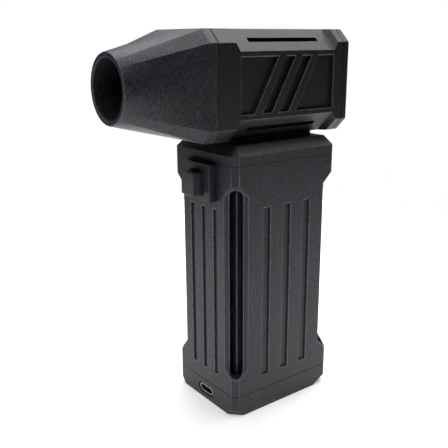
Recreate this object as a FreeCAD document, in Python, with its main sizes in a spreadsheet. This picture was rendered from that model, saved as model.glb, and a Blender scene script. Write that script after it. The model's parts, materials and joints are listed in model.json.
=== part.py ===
import FreeCAD, Part
import math
import os
import re

import Sketcher

# Hand-held turbo blower: an octagonal fan head with a tapering nozzle on an upright battery handle.
# +Z is up, the nozzle blows along -Y, and the origin is the middle of the face the handle stands on.

SIZES = {
    # handle, outside
    "handle_width": 40.0,
    "handle_depth": 52.0,
    "handle_corner": 2.2,
    "bottom_cap_height": 8.7,
    "shell_height": 94.0,
    "top_cap_height": 7.0,
    "top_bevel": 3.6,
    "foot_bevel_height": 2.8,
    "foot_bevel_inset": 1.7,
    "heel_bevel_height": 3.4,
    "heel_bevel_inset": 4.4,
    # handle, walls
    "shell_wall": 2.2,
    "floor_thickness": 2.0,
    "cap_wall": 3.0,
    "lip_height": 2.5,
    "lip_wall": 1.2,
    # slotted corners of the handle
    "corner_cut": 6.6,
    "corner_cut_start": 5.6,
    "corner_cut_length": 83.0,
    "corner_ramp": 6.3,
    "corner_slot_width": 5.2,
    "corner_slot_rise": 4.2,
    "corner_slot_length": 73.0,
    "corner_wall": 1.4,
    # grooves of the handle
    "groove_start": 6.3,
    "front_groove_width": 2.2,
    "front_groove_pitch": 7.5,
    "front_groove_length": 69.7,
    "side_groove_width": 3.6,
    "side_groove_pitch": 10.3,
    "side_groove_length": 70.5,
    "groove_depth": 0.9,
    # head
    "neck_gap": 1.66,
    "head_half": 19.6,
    "head_corner": 4.8,
    "housing_front": 32.4,
    "housing_back": 28.5,
    "rear_cap_thickness": 2.6,
    "notch_front": 22.9,
    "notch_back": 23.3,
    "notch_ramp": 1.9,
    "notch_depth": 2.05,
    "facet_slot_front": 16.9,
    "facet_slot_back": 17.2,
    "facet_slot_width": 2.0,
    "facet_slot_depth": 3.0,
    # slanted bars in the side panels
    "panel_front": 22.6,
    "panel_back": 23.1,
    "panel_half_height": 10.0,
    "panel_depth": 1.5,
    "panel_skin": 0.9,
    "bar_width": 3.7,
    "bar_slot": 4.5,
    "bar_lean": 11.2,
    "bar_start": -16.4,
    # nozzle
    "nozzle_band": 3.1,
    "nozzle_cone_start": 1.6,
    "nozzle_length": 32.3,
    "mouth_radius": 10.6,
    "mouth_rim": 1.8,
    "mouth_length": 10.0,
    "spigot_length": 8.0,
    "seal_section": 0.4,
    # fan and motor
    "duct_wall": 1.6,
    "duct_back": 26.0,
    "tip_clearance": 0.3,
    "guard_seat": 1.6,
    "guard_thickness": 1.4,
    "guard_rim": 1.2,
    "guard_bar": 1.0,
    "guard_rings": 3.0,
    "guard_spokes": 6.0,
    "pod_wall": 0.9,
    "pod_front": 13.0,
    "pod_back": 7.5,
    "pod_floor": 1.4,
    "vane_count": 5.0,
    "vane_thickness": 1.2,
    "vane_front": 8.0,
    "vane_back": 3.0,
    "tail_length": 11.0,
    "hub_gap": 0.5,
    "hub_length": 10.0,
    "blade_count": 9.0,
    "blade_thickness": 0.8,
    "blade_root_angle": 62.0,
    "blade_tip_angle": 38.0,
    "blade_root_chord": 10.2,
    "blade_tip_chord": 9.2,
    "blade_bite": 0.6,
    "spinner_length": 6.6,
    "shaft_radius": 0.75,
    "shaft_overhang": 0.5,
    "mount_clearance": 0.3,
    "bearing_clearance": 0.02,
    "bearing_radius": 2.0,
    "bearing_width": 2.0,
    "tube_wall": 0.6,
    "core_radius": 5.2,
    "core_ring_wall": 0.7,
    "shoe_height": 0.6,
    "shoe_share": 0.7,
    "magnet_share": 0.86,
    "core_length": 9.0,
    "core_middle": -2.8,
    "tooth_count": 9.0,
    "tooth_width": 1.0,
    "coil_thickness": 0.35,
    "air_gap": 0.25,
    "magnet_thickness": 0.55,
    "magnet_count": 12.0,
    "bell_wall": 0.6,
    "bell_floor": 0.9,
    "bell_boss": 1.0,
    "mount_flange": 1.4,
    "bell_gap": 0.5,
    "nut_flats": 4.0,
    "nut_height": 2.0,
    # screws
    "screw_radius": 0.9,
    "screw_head_radius": 1.7,
    "screw_head_height": 1.3,
    "screw_sink": 0.3,
    "screw_head_clearance": 0.2,
    "post_wall": 0.8,
    "rear_screw_edge": 1.75,
    "rear_screw_length": 5.6,
    "neck_screw_radius": 1.2,
    "neck_screw_head_radius": 2.3,
    "neck_screw_place": 15.0,
    "neck_screw_bite": 1.8,
    "bottom_screw_length": 9.7,
    "bottom_screw_inset": 3.8,
    # neck
    "neck_width": 22.0,
    "neck_depth": 40.0,
    "neck_seat": 2.0,
    "cable_hole_radius": 3.0,
    "top_wall": 4.4,
    # cells and their holders
    "cell_radius": 9.2,
    "cell_length": 65.2,
    "cell_gap": 0.4,
    "cell_fit": 0.1,
    "link_thickness": 0.3,
    "link_clearance": 0.2,
    "sleeve_wall": 1.0,
    "sleeve_gap": 0.3,
    "sleeve_height": 82.0,
    "sleeve_notch_gap": 0.5,
    "holder_base": 3.0,
    "holder_floor_thickness": 2.0,
    "holder_rim": 2.0,
    "holder_grip": 3.0,
    # electronics
    "board_thickness": 1.6,
    "board_rise": 1.2,
    "board_gap": 0.4,
    "standoff_radius": 1.5,
    "standoff_edge": 2.6,
    "power_chip_width": 4.0,
    "power_chip_length": 5.0,
    "power_chip_pitch": 6.0,
    "power_chip_row_pitch": 7.0,
    "power_chip_columns": 3.0,
    "chip_height": 1.2,
    "capacitor_radius": 3.2,
    "capacitor_length": 9.0,
    "capacitor_edge": 1.4,
    "charge_board_thickness": 1.2,
    "charge_board_length": 27.0,
    "charge_board_gap": 0.3,
    "board_post_radius": 2.0,
    "charge_chip_size": 5.0,
    "charge_coil_height": 1.4,
    "lead_radius": 0.5,
    "lead_clearance": 0.15,
    "motor_lead_pitch": 1.6,
    "motor_lead_place": 9.4,
    "battery_lead_radius": 0.8,
    # charging inlet
    "inlet_height": 4.3,
    "inlet_width": 8.94,
    "inlet_thickness": 3.26,
    "inlet_wall": 0.3,
    "inlet_length": 7.3,
    "inlet_recess": 0.4,
    "inlet_clearance": 0.65,
    "tongue_width": 6.7,
    "tongue_thickness": 0.7,
    # switch
    "switch_room": 0.75,
    "bezel_width": 17.2,
    "bezel_height": 14.5,
    "bezel_offset": 0.45,
    "bezel_stand": 3.0,
    "bezel_neck_depth": 3.5,
    "button_width": 8.2,
    "button_height": 8.8,
    "button_stand": 7.2,
    "button_clearance": 0.25,
    "button_flange": 0.8,
    "button_flange_thickness": 1.2,
    "switch_wall": 1.0,
    "switch_back": 1.5,
    "spring_radius": 2.2,
    "spring_wire": 0.2,
    "spring_length": 4.5,
    "spring_turns": 4.0,
}

# Sizes that follow from the ones above, written in terms of their names.
DERIVED = {
    "half_width": "handle_width / 2",
    "half_depth": "handle_depth / 2",
    "shell_top": "bottom_cap_height + shell_height",
    "handle_top": "shell_top + top_cap_height",
    "head_axis": "handle_top + neck_gap + head_half",
    "cavity_x": "half_width - shell_wall",
    "cavity_y": "half_depth - shell_wall",
    "cavity_leg": "corner_cut + corner_wall * sqrt(2) - 2 * shell_wall",
    "cap_cavity_x": "half_width - cap_wall",
    "cap_cavity_y": "half_depth - cap_wall",
    "cap_cavity_leg": "cavity_leg + 2 * shell_wall - 2 * cap_wall + lip_wall / 2",
    "sleeve_x": "half_width - (corner_cut + (corner_wall + sleeve_gap) * sqrt(2)) / 2",
    "sleeve_y": "half_depth - (corner_cut + (corner_wall + sleeve_gap) * sqrt(2)) / 2",
    "sleeve_inner_x": "sleeve_x - sleeve_wall",
    "sleeve_inner_y": "sleeve_y - sleeve_wall",
    "cell_place": "cell_radius + cell_gap / 2",
    "holder_floor": "bottom_cap_height + holder_floor_thickness",
    "cell_bottom": "holder_floor + link_thickness",
    "cell_top": "cell_bottom + cell_length",
    "holder_top": "cell_top + link_thickness + holder_rim",
    "board_bottom": "holder_top + board_rise",
    "board_top": "board_bottom + board_thickness",
    "duct_radius": "head_half - panel_depth - panel_skin",
    "duct_bore": "duct_radius - duct_wall",
    "tip_radius": "duct_bore - tip_clearance",
    "duct_front": "housing_front - spigot_length",
    "hub_front": "pod_back + hub_gap",
    "hub_back": "hub_front + hub_length",
    "bell_radius": "core_radius + air_gap + magnet_thickness + bell_wall",
    "magnet_radius": "core_radius + air_gap + magnet_thickness",
    "tube_radius": "bearing_radius + tube_wall",
    "bell_back": "hub_front - hub_gap - bell_boss",
    "pod_radius": "bell_radius + bell_gap + pod_wall",
    "mount_back": "pod_floor + mount_flange - pod_front",
    "rear_screw_place": "(duct_radius + screw_head_radius + rear_screw_edge) / sqrt(2)",
    "bottom_screw_x": "sleeve_x - bottom_screw_inset",
    "bottom_screw_y": "sleeve_y - bottom_screw_inset",
    "mouth_front": "housing_front + nozzle_length",
    "charge_lead_place": "sleeve_inner_x - lead_radius * 4",
    "charge_board_width": "2 * (charge_lead_place + lead_radius)",
    "charge_board_bottom": "inlet_height + inlet_thickness / 2",
    "charge_board_top": "charge_board_bottom + charge_board_thickness",
    "switch_front": "half_depth - bezel_neck_depth",
    "flange_x": "button_width / 2 + button_flange",
    "flange_z": "button_height / 2 + button_flange",
    "switch_inner_x": "flange_x + button_clearance",
    "switch_inner_z": "flange_z + button_clearance",
    "tail_back": "switch_front - button_clearance - button_flange_thickness",
    "switch_height": "shell_top - lip_height / 2 - switch_room - switch_wall - flange_z",
    "coil_lead_height": "tube_radius + 1.4",
}

document = FreeCAD.newDocument("CarDryerBlower")
sheet = document.addObject("Spreadsheet::Sheet", "Sizes")
rows = [(name, str(number)) for name, number in SIZES.items()]
rows += [(name, "=" + formula) for name, formula in DERIVED.items()]
for row, (name, content) in enumerate(rows, start=1):
    sheet.set("A%d" % row, name)
    sheet.set("B%d" % row, content)
    sheet.setAlias("B%d" % row, name)
document.recompute()

parts = {}
X_AXIS = FreeCAD.Vector(1, 0, 0)
Y_AXIS = FreeCAD.Vector(0, 1, 0)
Z_AXIS = FreeCAD.Vector(0, 0, 1)


def size(name):
    """The number that a cell of the sheet holds."""
    return float(sheet.get(name))


def bind(item, prop, formula):
    """Tie a property to a formula in the sheet's names."""
    text = re.sub(r"\b([a-z][a-z_0-9]*)\b(?!\()", r"Sizes.\1", str(formula))
    item.setExpression(prop, text)


def place(item, x, y, z):
    for letter, formula in zip("xyz", (x, y, z)):
        bind(item, "Placement.Base." + letter, formula)
    return item


def keep(node, item):
    """Name the object that becomes parts/<node>.step."""
    item.Label = node
    parts[node] = item
    return item


# Solids made from primitives and booleans

def box(name, low, high):
    """A block between two corners, each given as three formulas."""
    item = document.addObject("Part::Box", name)
    for prop, start, end in zip(("Length", "Width", "Height"), low, high):
        bind(item, prop, "(%s) - (%s)" % (end, start))
    return place(item, *low)


def rod(name, radius, length, start, along="z"):
    """A cylinder from a start point along +Z or +Y."""
    item = document.addObject("Part::Cylinder", name)
    if along == "y":
        item.Placement.Rotation = FreeCAD.Rotation(X_AXIS, -90)
    bind(item, "Radius", radius)
    bind(item, "Height", length)
    return place(item, *start)


def dome(name, radius, length, start, turn):
    """Half an ellipsoid on the head's axis; turn is -90 for a nose on +Y and 90 for one on -Y."""
    item = document.addObject("Part::Ellipsoid", name)
    item.Placement.Rotation = FreeCAD.Rotation(X_AXIS, turn)
    item.Angle1 = 0
    bind(item, "Radius1", length)
    bind(item, "Radius2", radius)
    return place(item, 0, start, "head_axis")


def fuse(name, items):
    item = document.addObject("Part::MultiFuse", name)
    item.Shapes = items
    item.Refine = True
    return item


def group(name, items):
    item = document.addObject("Part::Compound", name)
    item.Links = items
    return item


def cut(name, base, tools):
    item = document.addObject("Part::Cut", name)
    item.Base = base
    item.Tool = tools[0] if len(tools) == 1 else fuse(name + "_tools", tools)
    item.Refine = True
    return item


# Solids made from sketches

def body(name, z="0"):
    item = document.addObject("PartDesign::Body", name)
    place(item, 0, 0, z)
    return item


def sketch(owner, role, offset="0"):
    """A sketch on one of the body's own origin planes, moved along its normal."""
    item = owner.newObject("Sketcher::SketchObject", owner.Name + "_sketch")
    plane = [entry for entry in owner.Origin.OriginFeatures if entry.Role == role][0]
    item.AttachmentSupport = [(plane, "")]
    item.MapMode = "FlatFace"
    bind(item, "AttachmentOffset.Base.z", offset)
    return item


def outline(item, corners):
    """A closed polygon whose corners are pairs of formulas."""
    count = len(corners)
    first = item.GeometryCount
    # the solver needs distinct starting points; the constraints then move them into place
    angles = [2 * math.pi * turn / count for turn in range(count)]
    start = [FreeCAD.Vector(9 * math.cos(angle), 9 * math.sin(angle), 0) for angle in angles]
    for turn in range(count):
        item.addGeometry(Part.LineSegment(start[turn], start[(turn + 1) % count]), False)
    for turn in range(count):
        item.addConstraint(Sketcher.Constraint("Coincident", first + turn, 2, first + (turn + 1) % count, 1))
    for turn, (along, up) in enumerate(corners):
        for kind, formula, number in (("DistanceX", along, start[turn].x), ("DistanceY", up, start[turn].y)):
            index = item.addConstraint(Sketcher.Constraint(kind, -1, 1, first + turn, 1, number))
            bind(item, "Constraints[%d]" % index, formula)
    return item


def feature(owner, kind, profile, length):
    """A Pad or a Pocket of a sketch along the sketch's normal."""
    item = owner.newObject("PartDesign::" + kind, owner.Name + "_" + kind.lower())
    item.Profile = profile
    bind(item, "Length", length)
    return item


def pad(owner, profile, length, reverse=False):
    item = feature(owner, "Pad", profile, length)
    item.Reversed = reverse
    return item


def pocket(owner, profile, length):
    """A pocket that goes along the sketch's normal."""
    item = feature(owner, "Pocket", profile, length)
    item.Reversed = True
    return item


def turned(owner, corners, kind="Revolution"):
    """A Revolution or a Groove about the body's Y axis; corners are pairs (along Y, radius)."""
    profile = outline(sketch(owner, "YZ_Plane"), corners)
    item = owner.newObject("PartDesign::" + kind, owner.Name + "_" + kind.lower())
    item.Profile = profile
    item.ReferenceAxis = (profile, ["H_Axis"])
    item.Angle = 360
    return item


def turned_body(name, corners):
    item = body(name, "head_axis")
    turned(item, corners)
    return item


def washer(front, back, inner, outer):
    """Corners of a ring's section for turned()."""
    return [(front, inner), (back, inner), (back, outer), (front, outer)]


def octagon(half_x, half_y, leg):
    """Corners of a rectangle with its four corners cut by leg."""
    near_x = "(%s) - (%s)" % (half_x, leg)
    near_y = "(%s) - (%s)" % (half_y, leg)
    quarter = [(half_x, near_y), (near_x, half_y)]
    corners = list(quarter)
    corners += [("-(%s)" % x, y) for x, y in reversed(quarter)]
    corners += [("-(%s)" % x, "-(%s)" % y) for x, y in quarter]
    corners += [(x, "-(%s)" % y) for x, y in reversed(quarter)]
    return corners


def prism(name, corners, start, length, role="XY_Plane", z="0"):
    """A body padded from one outline."""
    item = body(name, z)
    pad(item, outline(sketch(item, role, start), corners), length)
    return item


def loft(owner, first, second):
    """A straight-sided loft between two sketches of the body."""
    item = owner.newObject("PartDesign::AdditiveLoft", owner.Name + "_loft")
    item.Profile = first
    item.Sections = [second]
    item.Ruled = True
    return item


HANDLE_OUTLINE = octagon("half_width", "half_depth", "handle_corner")
CAVITY_OUTLINE = octagon("cavity_x", "cavity_y", "cavity_leg")
CAP_CAVITY_OUTLINE = octagon("cap_cavity_x", "cap_cavity_y", "cap_cavity_leg")
# the lips stand along the four walls only, so the sleeve's corners pass between them
LIP_BORE_OUTLINE = octagon("cavity_x - lip_wall", "cavity_y - lip_wall", "cavity_leg - lip_wall * 2.5")
HEAD_OUTLINE = octagon("head_half", "head_half", "head_corner")


BACK_CORNERS = ((1, 1), (-1, 1))
FRONT_CORNERS = ((-1, -1), (1, -1))
CORNERS = BACK_CORNERS + FRONT_CORNERS
SIDES = ((1, 0), (0, 1), (-1, 0), (0, -1))


def handle_tools(name, directions, profile, width, inset="0"):
    """One prism for each side or corner of the handle: profile is (outward, up), padded to width."""
    tools = []
    for number, (side_x, side_y) in enumerate(directions):
        tool = body("%s_%d" % (name, number))
        tool.Placement.Rotation = FreeCAD.Rotation(Z_AXIS, math.degrees(math.atan2(side_y, side_x)))
        place(tool, "%d * (half_width - (%s))" % (side_x, inset),
              "%d * (half_depth - (%s))" % (side_y, inset), 0)
        pad(tool, outline(sketch(tool, "XZ_Plane"), profile), width).Midplane = True
        tools.append(tool)
    return tools


def bevel(start, rise, inset):
    """Section of what a bevel takes away, from a height on the wall to an inset further up or down."""
    end = "%s + (%s) * 1.2" % (start, rise)
    return [("0", start), ("3", start), ("3", end), ("-(%s) * 1.2" % inset, end)]


# Handle

def make_handle_shell():
    blank = prism("shell_blank", HANDLE_OUTLINE, "bottom_cap_height", "shell_height")
    pocket(blank, outline(sketch(blank, "XY_Plane", "bottom_cap_height"), CAVITY_OUTLINE), "shell_height")
    low = "bottom_cap_height + corner_cut_start"
    high = low + " + corner_cut_length"
    # the cut is as deep as the flat across the corner, with a ramp at each end
    deep = "corner_cut / sqrt(2)"
    section = [("0", low + " + corner_ramp"), (deep, low), (deep + " + 2", low),
               (deep + " + 2", high), (deep, high), ("0", high + " - corner_ramp")]
    tools = handle_tools("corner_flat", CORNERS, section, "corner_cut * 3", "corner_cut / 2")
    slot_low = low + " + corner_slot_rise"
    slot_high = slot_low + " + corner_slot_length"
    section = [("-corner_wall * 3", slot_low), ("3", slot_low),
               ("3", slot_high), ("-corner_wall * 3", slot_high)]
    tools += handle_tools("corner_slot", CORNERS, section, "corner_slot_width", "corner_cut / 2")
    groove_low = "bottom_cap_height + groove_start"
    for side in (-1, 1):
        for step in (-1, 0, 1):
            middle = "%d * front_groove_pitch" % step
            bottom = "%d * half_depth" % side
            tools.append(box("front_groove", (middle + " - front_groove_width / 2",
                                              bottom + " - groove_depth", groove_low),
                             (middle + " + front_groove_width / 2", bottom + " + groove_depth",
                              groove_low + " + front_groove_length")))
            middle = "%d * side_groove_pitch" % step
            bottom = "%d * half_width" % side
            tools.append(box("side_groove", (bottom + " - groove_depth", middle + " - side_groove_width / 2",
                                             groove_low),
                             (bottom + " + groove_depth", middle + " + side_groove_width / 2",
                              groove_low + " + side_groove_length")))
    tools.append(box("bezel_hole", ("-flange_x - switch_wall", "-half_depth - 1",
                                    "switch_height - flange_z - switch_wall"),
                     ("flange_x + switch_wall", "-switch_front", "switch_height + flange_z + switch_wall")))
    keep("handle_shell", cut("handle_shell", blank, tools))


def make_top_cap():
    cap = prism("top_cap_blank", HANDLE_OUTLINE, "shell_top", "top_cap_height")
    # the lip stays above the switch
    pad(cap, outline(sketch(cap, "XY_Plane", "shell_top"), CAVITY_OUTLINE), "lip_height / 2", reverse=True)
    lip_bore = outline(sketch(cap, "XY_Plane", "shell_top - lip_height / 2"), LIP_BORE_OUTLINE)
    pocket(cap, lip_bore, "lip_height / 2")
    hollow = outline(sketch(cap, "XY_Plane", "shell_top"), CAP_CAVITY_OUTLINE)
    pocket(cap, hollow, "top_cap_height - top_wall")
    tools = [box("neck_pocket", ("-neck_width / 2", "-neck_depth / 2", "handle_top - neck_seat"),
                 ("neck_width / 2", "neck_depth / 2", "handle_top + 1")),
             rod("top_cable_hole", "cable_hole_radius", "top_wall", ("0", "-motor_lead_place",
                                                                     "handle_top - top_wall - 1"))]
    section = bevel("handle_top - top_bevel", "top_bevel", "top_bevel")
    tools += handle_tools("top_bevel_side", SIDES, section, "handle_depth * 2")
    tools += handle_tools("top_bevel_corner", CORNERS, section, "handle_depth", "handle_corner / 2")
    for side in (-1, 1):
        tools.append(rod("neck_screw_hole", "neck_screw_radius", "top_wall",
                         ("0", "%d * neck_screw_place" % side, "handle_top - top_wall - 1")))
    keep("top_cap", cut("top_cap", cap, tools))


def make_bottom_cap():
    cap = prism("bottom_cap_blank", HANDLE_OUTLINE, "0", "bottom_cap_height")
    pad(cap, outline(sketch(cap, "XY_Plane", "bottom_cap_height"), CAVITY_OUTLINE), "lip_height")
    pocket(cap, outline(sketch(cap, "XY_Plane", "bottom_cap_height"), LIP_BORE_OUTLINE), "lip_height")
    pocket(cap, outline(sketch(cap, "XY_Plane", "floor_thickness"), CAP_CAVITY_OUTLINE),
           "bottom_cap_height - floor_thickness")
    posts = [cap]
    # the two front corners are cut a little at the foot, the two at the heel more
    tools = handle_tools("foot_bevel", FRONT_CORNERS,
                         bevel("foot_bevel_height", "-foot_bevel_height", "foot_bevel_inset"),
                         "handle_depth", "handle_corner / 2")
    tools += handle_tools("heel_bevel", BACK_CORNERS,
                          bevel("heel_bevel_height", "-heel_bevel_height", "heel_bevel_inset"),
                          "handle_depth", "handle_corner / 2")
    screws = []
    for side_x in (-1, 1):
        for side_y in (-1, 1):
            place_x = "%d * bottom_screw_x" % side_x
            place_y = "%d * bottom_screw_y" % side_y
            posts.append(rod("screw_post", "screw_head_radius + post_wall", "bottom_cap_height - 1",
                             (place_x, place_y, "1")))
            tools.append(rod("screw_hole", "screw_radius", "bottom_cap_height + 1", (place_x, place_y, "0")))
            tools.append(rod("screw_recess", "screw_head_radius + screw_head_clearance",
                             "screw_head_height + screw_sink", (place_x, place_y, "0")))
            start = (place_x, place_y, "screw_sink")
            head = rod("screw_head", "screw_head_radius", "screw_head_height", start)
            shank = rod("screw_shank", "screw_radius", "bottom_screw_length", start)
            screws.append(fuse("bottom_screw", [head, shank]))
        across = "%d * (charge_board_width / 2 - board_post_radius)" % side_x
        posts.append(rod("board_post", "board_post_radius", "charge_board_bottom - 1",
                         (across, "-half_depth / 4", "1")))
    tools.append(box("inlet_middle", ("-(inlet_width - inlet_thickness) / 2", "-half_depth - 1",
                                      "inlet_height - inlet_thickness / 2 - inlet_clearance"),
                     ("(inlet_width - inlet_thickness) / 2", "-cap_cavity_y + 1",
                      "inlet_height + inlet_thickness / 2 + inlet_clearance")))
    for side in (-1, 1):
        end = "%d * (inlet_width - inlet_thickness) / 2" % side
        tools.append(rod("inlet_end", "inlet_thickness / 2 + inlet_clearance", "cap_wall + 2",
                         (end, "-half_depth - 1", "inlet_height"), "y"))
    keep("bottom_cap", cut("bottom_cap", fuse("bottom_cap_body", posts), tools))
    keep("bottom_screws", group("bottom_screws", screws))


def make_neck():
    plate = box("neck_blank", ("-neck_width / 2", "-neck_depth / 2", "handle_top - neck_seat"),
                ("neck_width / 2", "neck_depth / 2", "handle_top + neck_gap"))
    tools = [rod("neck_cable_hole", "cable_hole_radius", "neck_seat + neck_gap + 2",
                 ("0", "-motor_lead_place", "handle_top - neck_seat - 1"))]
    screws = []
    for side in (-1, 1):
        along = "%d * neck_screw_place" % side
        bottom = "handle_top - top_wall"
        tools.append(rod("neck_plate_hole", "neck_screw_radius", "neck_seat + neck_gap + 2",
                         ("0", along, "handle_top - neck_seat - 1")))
        head = rod("neck_screw_head", "neck_screw_head_radius", "screw_head_height",
                   ("0", along, bottom + " - screw_head_height"))
        shank = rod("neck_screw_shank", "neck_screw_radius",
                    "screw_head_height + top_wall + neck_gap + neck_screw_bite",
                    ("0", along, bottom + " - screw_head_height"))
        screws.append(fuse("neck_screw", [head, shank]))
    keep("neck_plate", cut("neck_plate", plate, tools))
    keep("neck_screws", group("neck_screws", screws))


def lead_holes(name, low, high):
    """Clearance for the charge leads that run up beside the cells."""
    return [rod(name, "lead_radius + lead_clearance", "(%s) - (%s)" % (high, low),
                ("-charge_lead_place", "%d * lead_radius * 2" % side, low)) for side in (-1, 1)]


def make_battery():
    outer = "sleeve_x", "sleeve_y"
    sleeve_low = "bottom_cap_height + holder_base"
    blank = box("sleeve_outside", ("-" + outer[0], "-" + outer[1], sleeve_low),
                (outer[0], outer[1], sleeve_low + " + sleeve_height"))
    inside = box("sleeve_inside", ("-sleeve_inner_x", "-sleeve_inner_y", sleeve_low + " - 1"),
                 ("sleeve_inner_x", "sleeve_inner_y", sleeve_low + " + sleeve_height + 1"))
    notch_x = "switch_inner_x + switch_wall + sleeve_notch_gap"
    notch_low = "switch_height - switch_inner_z - switch_wall - sleeve_notch_gap"
    notch = box("sleeve_notch", ("-(%s)" % notch_x, "-sleeve_y - 1", notch_low),
                (notch_x, "0", sleeve_low + " + sleeve_height + 1"))
    keep("battery_sleeve", cut("battery_sleeve", blank, [inside, notch]))

    base = box("holder_base", ("-" + outer[0], "-" + outer[1], "bottom_cap_height"),
               (outer[0], outer[1], sleeve_low))
    grip = box("holder_grip", ("-sleeve_inner_x", "-sleeve_inner_y", sleeve_low),
               ("sleeve_inner_x", "sleeve_inner_y", sleeve_low + " + holder_grip"))
    lower_tools = lead_holes("lower_lead_hole", "bottom_cap_height - 1", sleeve_low + " + holder_grip + 1")
    upper = box("upper_holder_blank", ("-sleeve_inner_x", "-sleeve_inner_y", "cell_top - holder_grip"),
                ("sleeve_inner_x", "sleeve_inner_y", "holder_top"))
    upper_tools = lead_holes("upper_lead_hole", "cell_top - holder_grip - 1", "holder_top + 1")
    links = []
    for name, side in (("front_cell", -1), ("rear_cell", 1)):
        along = "%d * cell_place" % side
        keep(name, rod(name, "cell_radius", "cell_length", ("0", along, "cell_bottom")))
        lower_tools.append(rod("lower_cup", "cell_radius + cell_fit", "cell_length",
                               ("0", along, "holder_floor")))
        upper_tools.append(rod("upper_cup", "cell_radius + cell_fit", "holder_grip + link_thickness",
                               ("0", along, "cell_top - holder_grip")))
        upper_tools.append(rod("battery_lead_hole", "battery_lead_radius + lead_clearance", "holder_rim + 2",
                               ("cell_radius / 2", along, "cell_top")))
        links.append(box("top_link", ("-cell_radius / 3", along + " - cell_radius / 3", "cell_top"),
                         ("cell_radius * 0.75", along + " + cell_radius / 3", "cell_top + link_thickness")))
    for side_x in (-1, 1):
        for side_y in (-1, 1):
            lower_tools.append(rod("holder_screw_hole", "screw_radius", "holder_base + holder_grip",
                                   ("%d * bottom_screw_x" % side_x, "%d * bottom_screw_y" % side_y,
                                    "bottom_cap_height - 1")))
    links.append(box("bottom_link", ("-cell_radius / 3", "-cell_place - cell_radius / 3", "holder_floor"),
                     ("cell_radius / 3", "cell_place + cell_radius / 3", "cell_bottom")))
    channel = "cell_radius / 3 + link_clearance"
    lower_tools.append(box("link_channel", ("-(%s)" % channel, "-cell_place", "holder_floor"),
                           (channel, "cell_place", "cell_bottom + link_clearance")))
    keep("lower_cell_holder", cut("lower_cell_holder", fuse("lower_holder_blank", [base, grip]), lower_tools))
    keep("upper_cell_holder", cut("upper_cell_holder", upper, upper_tools))
    keep("cell_links", group("cell_links", links))


def make_electronics():
    board = box("control_board_blank", ("-sleeve_inner_x + board_gap", "-sleeve_inner_y / 2", "board_bottom"),
                ("sleeve_inner_x - board_gap", "sleeve_inner_y - board_gap", "board_top"))
    keep("control_board", board)
    standoffs = []
    for side_x in (-1, 1):
        for along in ("-sleeve_inner_y / 2 + standoff_edge", "sleeve_inner_y - board_gap - standoff_edge"):
            standoffs.append(rod("board_standoff", "standoff_radius", "board_rise",
                                 ("%d * (sleeve_inner_x - board_gap - standoff_edge)" % side_x, along,
                                  "holder_top")))
    keep("board_standoffs", group("board_standoffs", standoffs))
    chips = []
    for column in range(int(size("power_chip_columns"))):
        for line in range(2):
            left = "(%d - power_chip_columns / 2) * power_chip_pitch + power_chip_width / 4" % column
            back = "%d * power_chip_row_pitch - power_chip_width / 4" % line
            chips.append(box("power_chip", (left, back, "board_top"),
                             (left + " + power_chip_width", back + " + power_chip_length",
                              "board_top + chip_height")))
    keep("control_chips", group("control_chips", chips))
    along = "sleeve_inner_y - board_gap - capacitor_edge - capacitor_radius"
    keep("capacitor", rod("capacitor", "capacitor_radius", "capacitor_length", ("0", along, "board_top")))

    front = "-half_depth + inlet_recess"
    edge = "charge_board_gap - cap_cavity_y"
    charge = box("charge_blank", ("-charge_board_width / 2", edge, "charge_board_bottom"),
                 ("charge_board_width / 2", edge + " + charge_board_length", "charge_board_top"))
    # notched round the two front screw posts
    notches = [rod("post_notch", "screw_head_radius + post_wall + charge_board_gap",
                   "charge_board_thickness + 2",
                   ("%d * bottom_screw_x" % side, "-bottom_screw_y", "charge_board_bottom - 1"))
               for side in (-1, 1)]
    keep("charge_board", cut("charge_board", charge, notches))
    keep("charge_chips", group("charge_chips", [
        box("charge_chip", ("0", "-half_depth / 2", "charge_board_top"),
            ("charge_chip_size", "-half_depth / 2 + charge_chip_size", "charge_board_top + chip_height")),
        box("charge_coil", ("-charge_chip_size * 1.5", "-half_depth / 4", "charge_board_top"),
            ("-charge_chip_size / 2", "-half_depth / 4 + charge_chip_size",
             "charge_board_top + charge_coil_height"))]))
    shells = []
    for name, inset, start, end in (("inlet_outside", "0", front, front + " + inlet_length"),
                                    ("inlet_inside", "inlet_wall", front + " - 1",
                                     front + " + inlet_length - inlet_wall")):
        radius = "inlet_thickness / 2 - " + inset
        middle = box(name, ("-(inlet_width - inlet_thickness) / 2", start, "inlet_height - (%s)" % radius),
                     ("(inlet_width - inlet_thickness) / 2", end, "inlet_height + (%s)" % radius))
        ends = [rod(name + "_end", radius, "(%s) - (%s)" % (end, start),
                    ("%d * (inlet_width - inlet_thickness) / 2" % side, start, "inlet_height"), "y")
                for side in (-1, 1)]
        shells.append(fuse(name + "_all", [middle] + ends))
    keep("inlet_shell", cut("inlet_shell", shells[0], [shells[1]]))
    tongue = box("inlet_tongue", ("-tongue_width / 2", front + " + 1", "inlet_height - tongue_thickness / 2"),
                 ("tongue_width / 2", front + " + inlet_length - inlet_wall",
                  "inlet_height + tongue_thickness / 2"))
    keep("inlet_tongue", tongue)

    keep("motor_leads", group("motor_leads", [
        rod("motor_lead", "lead_radius", "head_axis - coil_lead_height - board_top",
            ("%d * motor_lead_pitch" % step, "-motor_lead_place", "board_top")) for step in (-1, 0, 1)]))
    keep("battery_leads", group("battery_leads", [
        rod("battery_lead", "battery_lead_radius", "board_bottom - cell_top - link_thickness",
            ("cell_radius / 2", "%d * cell_place" % side, "cell_top + link_thickness")) for side in (-1, 1)]))
    keep("charge_leads", group("charge_leads", [
        rod("charge_lead", "lead_radius", "board_bottom - charge_board_top",
            ("-charge_lead_place", "%d * lead_radius * 2" % side, "charge_board_top"))
        for side in (-1, 1)]))


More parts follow.
